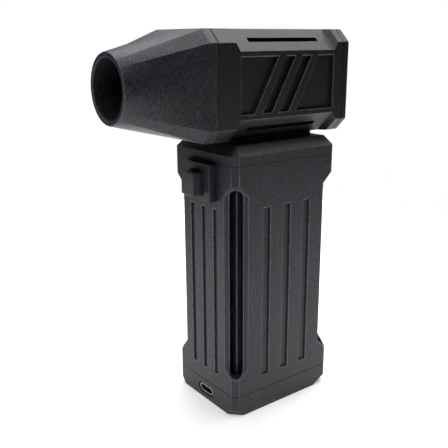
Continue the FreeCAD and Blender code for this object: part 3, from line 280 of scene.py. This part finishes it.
def turnedMetal(name, look):
    # Machined or drawn metal: fine tool lines along one axis, stretched noise, with softer cloudy wear.
    material, tree, output, place = newMaterial(name)
    stretch = addNode(tree, "Mapping", {"Scale": look["stretch"]}, [("Vector", place)])
    lines = addNode(tree, "TexNoise", {"Scale": perMetre(look["line"]), "Detail": 3.0},
                    [("Vector", stretch.outputs["Vector"])])
    highlightAndWear = addNode(tree, "TexNoise", {"Scale": perMetre(3.0), "Detail": 4.0}, [("Vector", place)])
    tint = addNode(tree, "ValToRGB", {}, [("Fac", highlightAndWear.outputs["Fac"])])
    tint.color_ramp.elements[0].position, tint.color_ramp.elements[1].position = 0.25, 0.75
    tint.color_ramp.elements[0].color = linear(look["dark"])
    tint.color_ramp.elements[1].color = linear(look["light"])
    rough = addNode(tree, "MapRange", {"To Min": look["rough"] - 0.08, "To Max": look["rough"] + 0.12},
                    [("Value", lines.outputs["Fac"])])
    bump = addNode(tree, "Bump", {"Strength": 0.25, "Distance": 0.02 * mm},
                   [("Height", lines.outputs["Fac"])])
    shader = addNode(tree, "BsdfPrincipled", {"Metallic": 1.0},
                     [("Base Color", tint.outputs["Color"]), ("Roughness", rough.outputs["Result"]),
                      ("Normal", bump.outputs["Normal"])])
    tree.links.new(shader.outputs["BSDF"], output.inputs["Surface"])
    return material


# noise squeezed by these factors makes lines that run along one axis
linesAlong = {"y": (1.0, 0.05, 1.0), "z": (1.0, 1.0, 0.05)}
finish = {
    # each look's pale edge colour is painted on the marked edges: a painted edge highlight with some edge
    # wear
    "housing": grainPlastic("sintered black nylon", {
        "dark": "#020203", "light": "#201f25", "speckleFrom": 0.52, "speckleTo": 0.9, "grain": 0.5,
        "cell": 0.5, "glint": 0.35, "patch": 14.0, "rough": 0.46,
        "bump": 0.5, "rise": 0.1, "wornAndLit": "#6f6d7a"}),
    "grip": grainPlastic("tumbled black nylon", {
        "dark": "#050507", "light": "#302e38", "speckleFrom": 0.52, "speckleTo": 0.9, "grain": 0.5,
        "cell": 0.5, "glint": 0.35, "patch": 16.0, "rough": 0.5,
        "bump": 0.5, "rise": 0.1, "wornAndLit": "#74727f"}),
    # a paler copy of the grip finish for rounded edges: painted edge highlight
    "gripHighlight": grainPlastic("tumbled black nylon, rubbed edge", {
        "dark": "#2a2930", "light": "#5a5863", "speckleFrom": 0.52, "speckleTo": 0.9, "grain": 0.5,
        "cell": 0.5, "glint": 0.35, "patch": 16.0, "rough": 0.5,
        "bump": 0.5, "rise": 0.1, "wornAndLit": "#74727f"}),
    "nozzle": grainPlastic("coarse sintered black nylon", {
        "dark": "#010102", "light": "#33323c", "speckleFrom": 0.58, "speckleTo": 0.95, "grain": 0.45,
        "cell": 0.42, "glint": 0.45, "patch": 10.0, "rough": 0.46,
        "bump": 0.8, "rise": 0.14, "wornAndLit": "#74727f"}),
    "inner": mouldedPlastic("moulded black nylon", {
        "dark": "#0d0d0e", "light": "#161618", "grain": 0.3, "rough": 0.5, "bump": 0.2}),
    "sleeve": mouldedPlastic("extruded black PVC", {
        "dark": "#212026", "light": "#2d2c32", "grain": 0.3, "rough": 0.32, "bump": 0.1}),
    "switch": mouldedPlastic("moulded black ABS", {
        "dark": "#222127", "light": "#2e2d34", "grain": 0.25, "rough": 0.45, "bump": 0.15}),
    "fan": mouldedPlastic("glass filled nylon", {
        "dark": "#2b2c2f", "light": "#3a3b3f", "grain": 0.35, "rough": 0.42, "bump": 0.3}),
    "rubber": mouldedPlastic("nitrile rubber", {
        "dark": "#101010", "light": "#191919", "grain": 0.2, "rough": 0.8, "bump": 0.2}),
    "silicone": mouldedPlastic("red silicone lead", {
        "dark": "#8e1712", "light": "#a8231b", "grain": 0.3, "rough": 0.5, "bump": 0.1}),
    "wrap": mouldedPlastic("blue shrink sleeve", {
        "dark": "#1f4f86", "light": "#2a63a4", "grain": 0.6, "rough": 0.3, "bump": 0.08}),
    "board": mouldedPlastic("green solder mask", {
        "dark": "#0c4a25", "light": "#12592e", "grain": 0.4, "rough": 0.35, "bump": 0.1}),
    "chip": mouldedPlastic("black moulding epoxy", {
        "dark": "#151515", "light": "#202020", "grain": 0.15, "rough": 0.55, "bump": 0.2}),
    "aluminium": turnedMetal("turned aluminium", {
        "dark": "#b4b6ba", "light": "#d2d4d8", "line": 0.25, "stretch": linesAlong["y"], "rough": 0.3}),
    "steel": turnedMetal("ground steel", {
        "dark": "#9a9a9c", "light": "#bdbdbf", "line": 0.2, "stretch": linesAlong["y"], "rough": 0.28}),
    "blackSteel": turnedMetal("black oxide screw steel", {
        "dark": "#1f1f21", "light": "#303033", "line": 0.2, "stretch": linesAlong["z"], "rough": 0.38}),
    "inletSteel": turnedMetal("stamped stainless steel", {
        "dark": "#c2c2c6", "light": "#dddde0", "line": 0.2, "stretch": linesAlong["y"], "rough": 0.25}),
    "copper": turnedMetal("enamelled copper", {
        "dark": "#b3622f", "light": "#cf7f45", "line": 0.3, "stretch": linesAlong["y"], "rough": 0.25}),
    "lamination": turnedMetal("laminated core steel", {
        "dark": "#6c6d70", "light": "#8b8c90", "line": 0.35, "stretch": (1.0, 20.0, 1.0), "rough": 0.4}),
}
# which finish each material slot of the frame gets
finishOf = {
    "nozzle_plastic": "nozzle", "housing_plastic": "housing", "inner_plastic": "inner",
    "switch_plastic": "switch", "fan_plastic": "fan", "seal_rubber": "rubber",
    "lead_silicone": "silicone", "cell_wrap": "wrap", "board_laminate": "board", "chip_epoxy": "chip",
    "spinner_metal": "aluminium", "motor_aluminium": "aluminium", "capacitor_can": "aluminium",
    "magnet_nickel": "steel", "nickel_strip": "steel", "bell_metal": "steel", "bearing_steel": "steel",
    "spring_steel": "steel", "screw_steel": "blackSteel", "inlet_steel": "inletSteel",
    "copper_wire": "copper", "core_steel": "lamination"}
slotOf = {entry["node"]: entry["material_slot"] for entry in frame["record"]["subparts"]}
for node, slotName in slotOf.items():
    cadPiece = frame["nodes"][node]
    for socket in cadPiece.material_slots:
        socket.material = finish[finishOf[slotName]]
print("materials ready")


handle = {
    "wall": 2.2, "cornerWall": 1.4, "cornerLeg": 2.2, "cutLeg": 6.6, "edge": 0.3, "seam": 0.25,
    "grooveDepth": 0.9, "grooveFlank": 0.25, "grooveFoot": 6.3, "brim": 0.3, "brimPart": 0.2,
    # depth and arc share of the pale painted edge highlight, with some edge wear
    "highlightDepth": 0.19, "arcHighlight": 1.0,
    "frontGrooves": (-7.5, 0.0, 7.5), "frontWidth": 2.2, "frontLength": 69.7,
    "sideGrooves": (-10.3, 0.0, 10.3), "sideWidth": 3.6, "sideLength": 70.5,
    "cutFoot": 7.6, "cutLength": 78.8, "ramp": 4.2,
    "slotFoot": 7.9, "slotLength": 76.9, "slotWidth": 5.2, "slotLip": 0.35,
    "lipKeep": 0.8, "holeKeep": 0.93, "cavityEdge": 0.05, "straightInset": 5.0, "straightRows": 9}


def slotHalfWidth(z, foot, top, radius):
    # half width of a slot with round ends: sqrt(r^2 - d^2), d the distance past the centre of the end's arc
    past = np.maximum(np.maximum(z - (top - radius), (foot + radius) - z), 0)
    return np.sqrt(np.maximum(radius ** 2 - past ** 2, 0))


def grooveColumns(middles, width, flank, brim):
    # six columns for each groove: brim, edge, floor, floor, edge, brim
    half = np.array([-1, -1, -1, 1, 1, 1]) * width / 2
    return np.concatenate([m + half + np.array([-brim, 0, flank, -flank, 0, brim]) for m in middles])


def buildHandleShell(p):
    bottom, top = shellLow[2], shellHigh[2]
    cutFoot = bottom + p["cutFoot"]
    cutTop = cutFoot + p["cutLength"]
    slotFoot = bottom + p["slotFoot"]
    slotTop = slotFoot + p["slotLength"]
    radius = p["slotWidth"] / 2
    grooveFoot = bottom + p["grooveFoot"]
    frontTop, sideTop = grooveFoot + p["frontLength"], grooveFoot + p["sideLength"]
    bend = np.linspace(0, math.pi / 2, 7)
    arcs = [slotTop - radius + (radius + grow) * np.sin(bend) for grow in (0, p["slotLip"])]
    arcs += [slotFoot + radius - (radius + grow) * np.sin(bend) for grow in (0, p["slotLip"])]
    flank, brim, part = p["grooveFlank"], p["brim"], p["brimPart"]
    marks = [bottom, bottom + p["seam"], grooveFoot - brim, grooveFoot, grooveFoot + flank, cutFoot,
             cutFoot + p["ramp"], cutTop - p["ramp"], cutTop, top - p["seam"], top]
    marks += [level + step for level in (frontTop, sideTop) for step in (-flank, 0, brim)]
    straight = np.linspace(slotFoot + p["straightInset"], slotTop - p["straightInset"], p["straightRows"])
    z = np.unique(np.round(np.concatenate([marks] + arcs + [straight]), 4))
    inset = np.interp(z, [bottom, bottom + p["seam"], top - p["seam"], top], [p["seam"], 0, 0, p["seam"]])
    leg = np.interp(z, [cutFoot, cutFoot + p["ramp"], cutTop - p["ramp"], cutTop],
                    [p["cornerLeg"], p["cutLeg"], p["cutLeg"], p["cornerLeg"]])
    cornerHalf = leg / math.sqrt(2)
    lip = p["slotLip"]
    lipHalf = np.minimum(slotHalfWidth(z, slotFoot - lip, slotTop + lip, radius + lip),
                         cornerHalf - p["edge"] * p["lipKeep"])
    holeHalf = np.minimum(slotHalfWidth(z, slotFoot, slotTop, radius), lipHalf * p["holeKeep"])
    slotColumns = np.stack([-lipHalf, -holeHalf, holeHalf, lipHalf], axis=1)
    inside = (z > slotFoot - 1e-3) & (z < slotTop + 1e-3)
    lipDepth = np.where(inside, lip, 0)[:, None] * np.array([0, 0, 1, 1, 0, 0])
    inner, depth = [], []
    for k in range(8):
        if k % 2:
            inner.append(slotColumns)
            depth.append(lipDepth)
            continue
        middles, width, grooveTop = ((p["sideGrooves"], p["sideWidth"], sideTop) if k % 4 == 0 else
                                     (p["frontGrooves"], p["frontWidth"], frontTop))
        columns = grooveColumns(middles, width, flank, brim)
        sunk = np.interp(z, [grooveFoot - brim, grooveFoot, grooveFoot + flank,
                             grooveTop - flank, grooveTop, grooveTop + brim], [0, part, 1, 1, part, 0])
        profile = np.pad(np.tile([0, part, 1, 1, part, 0], len(middles)), 1) * p["grooveDepth"]
        inner.append(columns)
        depth.append(sunk[:, None] * profile)
    outside, starts, _, depths = octagonSection(handleHalf[0] - inset, handleHalf[1] - inset, leg,
                                                p["edge"], inner, depth)
    cavityLeg = p["cutLeg"] + p["cornerWall"] * math.sqrt(2) - 2 * p["wall"]
    cavity = octagonSection(handleHalf[0] - p["wall"], handleHalf[1] - p["wall"],
                                  np.full(len(z), cavityLeg), p["cavityEdge"], inner)[0]
    rows, columns = outside.shape[:2]
    keep = np.ones((rows - 1, columns), bool)
    hole = inside[:-1] & inside[1:]
    for k in (1, 3, 5, 7):
        keep[hole, starts[k] + 2] = False
    points = np.concatenate([toHandle(outside, z[:, None]), toHandle(cavity, z[:, None])])
    count = rows * columns
    faces = gridFaces(rows, columns, keep=keep)
    faces += gridFaces(rows, columns, keep=keep, first=count, flip=True)
    ring = np.arange(columns)
    after = (ring + 1) % columns
    last = (rows - 1) * columns
    faces += np.stack([ring, ring + count, after + count, after], axis=1).tolist()
    faces += (np.stack([after, after + count, ring + count, ring], axis=1) + last).tolist()
    # walls of the four slots, from the lip to the cavity
    first, final = np.flatnonzero(hole)[0], np.flatnonzero(hole)[-1] + 1
    for k in (1, 3, 5, 7):
        left = np.arange(first, final + 1) * columns + starts[k] + 2
        right = left + 1
        faces += np.stack([left[:-1], left[1:], left[1:] + count, left[:-1] + count], axis=1).tolist()
        faces += np.stack([right[1:], right[:-1], right[:-1] + count, right[1:] + count], axis=1).tolist()
    # groove brims and corner arcs painted pale: painted edge highlight with some edge wear
    wornAndLit = highlighted(depths, p["highlightDepth"], starts, p["arcHighlight"])[keep]
    skin = addPiece("handleShellSkin", points, faces, "casing", finish["grip"], ("handle_shell",), wornAndLit)
    return weighNormals(skin)


buildHandleShell(handle)
print("handle shell done")


housing = {
    "edge": 0.3, "seam": 0.3, "leg": 4.8, "deepLeg": 7.7,
    "notchFront": 22.9, "notchBack": 23.3, "ledge": 0.05, "ramp": 1.9,
    "slotFront": 16.9, "slotBack": 17.2, "slotWidth": 2.0, "slotDepth": 3.0, "flank": 0.12, "lip": 0.3,
    # depth and arc share of the pale painted edge highlight, with some edge wear
    "lipPart": 0.12, "highlightDepth": 0.19, "arcHighlight": 0.5,
    "panelFront": 22.6, "panelBack": 23.1, "panelHalf": 10.0, "panelDepth": 1.5,
    "barStart": -16.4, "barWidth": 3.7, "barSlot": 4.5, "lean": 11.2, "boreWall": 2.4,
    "panelGuides": (-5.0, 0.0, 5.0), "plainGuides": (-6.0, 0.0, 6.0)}


def buildFanHousing(p):
    front, back = -housingLow[1], -housingHigh[1]
    fine, flank, lip, part = p["seam"], p["flank"], p["lip"], p["lipPart"]
    step = p["barWidth"] + p["barSlot"]
    edges = [p["barStart"]] + [p["barStart"] + p["barWidth"] + i * step + j for i in range(2)
                               for j in (0, p["barSlot"])] + [p["barStart"] + p["barWidth"] + 2 * step]
    # levels along the head from the back: y at the foot of the panel, then lean, panel depth and slot
    # depth, each from 0 to 1
    levels = [(-back, 0, 0, 0), (-back - fine, 0, 0, 0), (p["notchBack"] + p["ramp"], 0, 0, 0),
              (p["notchBack"] + p["ledge"], 0, 0, 0), (p["panelBack"] + lip, 0, 0, 0),
              (p["panelBack"], 0, part, 0), (p["panelBack"] - flank, 0, 1, 0),
              (p["slotBack"], 0, 1, 0), (p["slotBack"] - flank, 0, 1, 1)]
    for number, edge in enumerate(reversed(edges)):
        onto = number % 2 == 0      # going from a sunk stretch up on to a bar
        levels += [(edge + (flank if onto else lip), 1, 1 if onto else 0, 1), (edge, 1, part, 1),
                   (edge - (lip if onto else flank), 1, 0 if onto else 1, 1)]
    levels += [(-p["slotFront"] + flank, 0, 1, 1), (-p["slotFront"], 0, 1, 0),
               (-p["panelFront"] + flank, 0, 1, 0), (-p["panelFront"], 0, part, 0),
               (-p["panelFront"] - lip, 0, 0, 0), (-p["notchFront"] - p["ledge"], 0, 0, 0),
               (-p["notchFront"] - p["ramp"], 0, 0, 0), (-front + fine, 0, 0, 0), (-front, 0, 0, 0)]
    foot, leaning, sunk, slotted = np.array(levels).T
    y = foot + leaning * p["lean"] / 2
    notch = [-p["notchFront"] - p["ramp"], -p["notchFront"], p["notchBack"], p["notchBack"] + p["ramp"]]
    leg = np.interp(y, notch, [p["leg"], p["deepLeg"], p["deepLeg"], p["leg"]])
    inset = np.interp(y, [-front, -front + fine, -back - fine, -back], [fine, 0, 0, fine])
    half = p["panelHalf"]
    panelColumns = np.array([-half - lip, -half, -half + flank, *p["panelGuides"],
                             half - flank, half, half + lip])
    panelProfile = np.array([0, 0, part, 1, 1, 1, 1, 1, part, 0, 0]) * p["panelDepth"]
    slotHalf = p["slotWidth"] / 2
    slotColumns = np.array([-slotHalf, -slotHalf + flank, slotHalf - flank, slotHalf])
    slotProfile = np.array([0, 0, 1, 1, 0, 0]) * p["slotDepth"]
    inner, depth, shift = [], [], []
    for k in range(8):
        if k % 2:
            inner.append(slotColumns)
            depth.append(slotted[:, None] * slotProfile)
            shift.append(None)
        elif k % 4 == 0:
            up = 1 if k == 0 else -1      # the tangent runs up on one side and down on the other
            inner.append(panelColumns)
            depth.append(sunk[:, None] * panelProfile)
            offset = leaning[:, None] * p["lean"] * np.clip(up * panelColumns, -half, half) / (2 * half)
            shift.append(np.pad(offset, ((0, 0), (1, 1))))
        else:
            inner.append(p["plainGuides"])
            depth.append(None)
            shift.append(None)
    half = headHalf - inset
    outside, starts, slide, depths = octagonSection(half, half, leg, p["edge"], inner, depth, shift)
    bore = onCircle(outside[[-1, 0]], headHalf - p["boreWall"])
    section = np.concatenate([outside, bore])
    reach = np.concatenate([-(y[:, None] + slide), np.full((1, slide.shape[1]), front),
                            np.full((1, slide.shape[1]), back)])
    points = toHead(section, reach)
    faces = gridFaces(points.shape[0], points.shape[1], wrapRows=True)
    # bar brims and arcs painted pale: painted edge highlight with some edge wear
    wornAndLit = highlighted(depths, p["highlightDepth"], starts, p["arcHighlight"]).ravel()
    skin = addPiece("fanHousingSkin", points, faces, "casing", finish["housing"], ("fan_housing",), wornAndLit)
    return weighNormals(skin)


buildFanHousing(housing)
print("fan housing done")


nozzle = {
    "length": 32.3, "edge": 0.3, "seam": 0.3, "leg": 4.8, "band": 3.1, "rim": 1.8, "mouthRadius": 10.6,
    "mouthLength": 10.0, "mouthEdge": 0.4, "mouthTurn": 0.12, "outerTurn": 0.1, "loftEnd": 0.35,
    # rim share of the pale painted edge highlight, with some edge wear
    "rows": 40, "columns": 9, "spread": 0.9, "rimHighlight": 0.5,
    "coneStart": 1.6, "boreRadius": 15.6, "spigotRadius": 17.2}


def buildNozzle(p):
    mouth = -nozzleLow[1]
    seam = mouth - p["length"]
    spigot = -nozzleHigh[1]
    # more columns than the flats need, because they bend towards the round mouth
    straight = np.linspace(-p["spread"], p["spread"], p["columns"])
    flatHalf, cornerHalf = headHalf - p["leg"], p["leg"] / math.sqrt(2)
    inner = [straight * (cornerHalf if k % 2 else flatHalf) for k in range(8)]
    inset = np.array([p["seam"], 0, 0])
    root = octagonSection(headHalf - inset, headHalf - inset, p["leg"], p["edge"], inner)[0]
    # the surface runs straight from the octagon to a circle: (1 - w) octagon + w circle
    w = np.linspace(0, 1, p["rows"])[1:, None, None]
    outer = onCircle(root[-1:], p["mouthRadius"] + p["rim"])
    loft = (1 - w) * root[-1:] + w * outer
    band = seam + p["band"]
    edge, turn, inside = p["mouthEdge"], p["mouthTurn"], p["mouthRadius"]
    outside = inside + p["rim"]
    wall = mouth - p["loftEnd"] - band      # how far the sloping wall reaches past the band
    reach = [seam, seam + p["seam"], band] + (band + wall * w[:, 0, 0]).tolist()
    # rim, bore, cone and spigot as radii at their places along the axis; each rounded edge of the rim
    # turns through one point just inside its corner
    turned = [(mouth - p["outerTurn"], outside - turn), (mouth, outside - edge), (mouth, inside + edge),
              (mouth - turn, inside + turn), (mouth - edge, inside),
              (mouth - p["mouthLength"], inside), (seam + p["coneStart"], p["boreRadius"]),
              (spigot, p["boreRadius"]), (spigot, p["spigotRadius"]), (seam, p["spigotRadius"])]
    rings = [onCircle(root[-1:], radius) for _, radius in turned]
    section = np.concatenate([root, loft] + rings)
    reach = np.array(reach + [place for place, _ in turned])
    points = toHead(section, reach[:, None])
    faces = gridFaces(points.shape[0], points.shape[1], wrapRows=True)
    # the rounded outer and inner edges of the mouth are painted pale: a painted edge highlight with some
    # edge wear
    last = len(root) + len(loft) - 1
    wornAndLit = np.zeros(points.shape[:2])
    wornAndLit[[last, last + 1, last + 3, last + 4]] = p["rimHighlight"]
    skin = addPiece("nozzleSkin", points, faces, "casing", finish["nozzle"], ("nozzle",), wornAndLit.ravel())
    return weighNormals(skin)


buildNozzle(nozzle)
print("nozzle done")


mergeWithin = 0.002     # mm between points that are one
flatWithin = 0.6        # degrees between faces that are one flat


def softenNode(node, p, body, material=None, edgeMaterial=None):
    # A copy of the node's mesh with doubled points merged and flats made one face, and its edges rounded
    # by arcs of the given width: the mould's own edge radius.
    source = frame["nodes"][node]
    shape = bmesh.new()
    shape.from_mesh(source.data)
    bmesh.ops.remove_doubles(shape, verts=shape.verts, dist=mergeWithin * mm)
    bmesh.ops.dissolve_limit(shape, angle_limit=math.radians(flatWithin),
                             verts=shape.verts, edges=shape.edges)
    mesh = bpy.data.meshes.new(node + "Soft")
    shape.to_mesh(mesh)
    shape.free()
    mesh.shade_smooth()
    piece = bpy.data.objects.new(node + "Soft", mesh)
    bpy.context.collection.objects.link(piece)
    mesh.materials.clear()
    mesh.materials.append(material or finish[finishOf[slotOf[node]]])
    mesh.polygons.foreach_set("material_index", np.zeros(len(mesh.polygons), np.int32))
    rounding = piece.modifiers.new("rounded edges", "BEVEL")
    rounding.width = p["edge"] * mm
    rounding.segments = p["segments"]
    rounding.limit_method = "ANGLE"
    rounding.angle_limit = math.radians(p["angle"])
    rounding.miter_outer = "MITER_ARC"
    # the second finish, where given, goes on the rounded edges: a paler painted edge highlight
    if edgeMaterial:
        mesh.materials.append(edgeMaterial)
        rounding.material = 1
    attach(piece, body)
    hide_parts(node)
    return weighNormals(piece)


# edge: radius in mm, angle: edges sharper than this many degrees are rounded
soft = {
    "rear_cap": {"edge": 0.25, "segments": 2, "angle": 30.0},
    "top_cap": {"edge": 0.25, "segments": 2, "angle": 30.0},
    "bottom_cap": {"edge": 0.25, "segments": 2, "angle": 30.0},
    "neck_plate": {"edge": 0.2, "segments": 2, "angle": 30.0},
    "battery_sleeve": {"edge": 0.4, "segments": 3, "angle": 30.0},
    "switch_bezel": {"edge": 0.25, "segments": 2, "angle": 30.0},
    "intake_guard": {"edge": 0.25, "segments": 2, "angle": 30.0},
    "inlet_shell": {"edge": 0.06, "segments": 2, "angle": 30.0},
    "inlet_tongue": {"edge": 0.1, "segments": 2, "angle": 30.0}}
softButton = {"edge": 0.25, "segments": 3, "angle": 30.0}
# the finish of the flats and of the rounded edges, where it isn't the slot's own; the paler edge finish is
# a painted edge highlight, on the caps with some edge wear
softFinish = {
    "top_cap": (finish["grip"], finish["gripHighlight"]), "bottom_cap": (finish["grip"], finish["gripHighlight"]),
    "battery_sleeve": (finish["sleeve"], finish["gripHighlight"])}
for node, p in soft.items():
    softenNode(node, p, "casing", *softFinish.get(node, ()))
softenNode("power_button", softButton, "button")
print("softened parts done")


stage = {
    "floorHalf": 300.0, "sheet": "#f7f7f7", "mottle": 8.0, "glow": 0.3,
    "background": 1.0, "ambient": 0.05, "tint": (1.0, 0.99, 1.02)}
# softboxes: place and size in metres, power in watts
softboxes = {
    "top softbox": {"place": (-0.2, 0.3, 1.0), "size": (1.2, 1.2), "power": 18.0},
    "front softbox": {"place": (0.1, -0.95, 0.95), "size": (0.9, 0.9), "power": 6.5},
    "back softbox": {"place": (-0.45, 1.0, 0.3), "size": (0.8, 0.6), "power": 4.0}}
viewing = {"place": (0.1985, -0.1649, 0.1468), "turn": 53.1, "tilt": 16.04, "roll": -0.34, "lens": 51.5}


def tableSheet(name, p):
    # White translucent table sheet, lit faintly from below so that shadows stay pale; a very faint mottle.
    material, tree, output, place = newMaterial(name)
    mottle = addNode(tree, "TexNoise", {"Scale": perMetre(p["mottle"]), "Detail": 3.0}, [("Vector", place)])
    tint = addNode(tree, "ValToRGB", {}, [("Fac", mottle.outputs["Fac"])])
    tint.color_ramp.elements[0].color = linear(p["sheet"])
    tint.color_ramp.elements[1].color = linear("#ffffff")
    shader = addNode(tree, "BsdfPrincipled", {
        "Roughness": 0.95, "Specular IOR Level": 0.1, "Emission Color": linear("#ffffff"),
        "Emission Strength": p["glow"]}, [("Base Color", tint.outputs["Color"])])
    tree.links.new(shader.outputs["BSDF"], output.inputs["Surface"])
    return material


def buildFloor(p):
    # a flat square sheet under the object: x and y on an even grid, height 0
    x, y = np.meshgrid(*[np.linspace(-p["floorHalf"], p["floorHalf"], 9)] * 2)
    mesh = bpy.data.meshes.new("floor")
    mesh.from_pydata((np.stack([x, y, np.zeros_like(x)], axis=-1).reshape(-1, 3) * mm).tolist(), [],
                     gridFaces(9, 9, closed=False))
    floor = bpy.data.objects.new("floor", mesh)
    bpy.context.collection.objects.link(floor)
    mesh.materials.append(tableSheet("matt white table sheet", p))


def buildWorld(p):
    # the surroundings are white to look at, and give only a dim even light
    world = bpy.data.worlds.new("white studio")
    world.use_nodes = True
    tree = world.node_tree
    tree.nodes.clear()
    looking = addNode(tree, "LightPath", {}).outputs["Is Camera Ray"]
    dim = addNode(tree, "Background", {"Color": linear("#ffffff"), "Strength": p["ambient"]})
    white = addNode(tree, "Background", {"Color": linear("#ffffff"), "Strength": p["background"]})
    mixed = addNode(tree, "MixShader", {}, [
        ("Fac", looking), (1, dim.outputs["Background"]), (2, white.outputs["Background"])])
    addNode(tree, "OutputWorld", {}, [("Surface", mixed.outputs["Shader"])])
    bpy.context.scene.world = world


def addSoftbox(name, p):
    light = bpy.data.lights.new(name, "AREA")
    light.shape = "RECTANGLE"
    light.size, light.size_y = p["size"]
    light.energy = p["power"]
    light.color = stage["tint"]
    lamp = bpy.data.objects.new(name, light)
    lamp.location = p["place"]
    toObject = Vector((0.0, 0.0, 0.08)) - Vector(p["place"])
    lamp.rotation_euler = toObject.to_track_quat("-Z", "Y").to_euler()
    bpy.context.collection.objects.link(lamp)


def addCamera(p):
    camera = bpy.data.cameras.new("camera")
    camera.lens = p["lens"]
    camera.sensor_width = 36.0
    camera.clip_start, camera.clip_end = 0.01, 20.0
    holder = bpy.data.objects.new("camera", camera)
    turn, tilt = math.radians(p["turn"]), math.radians(p["tilt"])
    look = Vector((-math.sin(turn) * math.cos(tilt), math.cos(turn) * math.cos(tilt), -math.sin(tilt)))
    facing = look.to_track_quat("-Z", "Y").to_matrix() @ Matrix.Rotation(math.radians(p["roll"]), 3, "Z")
    holder.matrix_world = Matrix.Translation(p["place"]) @ facing.to_4x4()
    bpy.context.collection.objects.link(holder)
    bpy.context.scene.camera = holder


buildFloor(stage)
buildWorld(stage)
for name, p in softboxes.items():
    addSoftbox(name, p)
addCamera(viewing)
bpy.context.scene.view_settings.view_transform = "Standard"
print("stage ready")
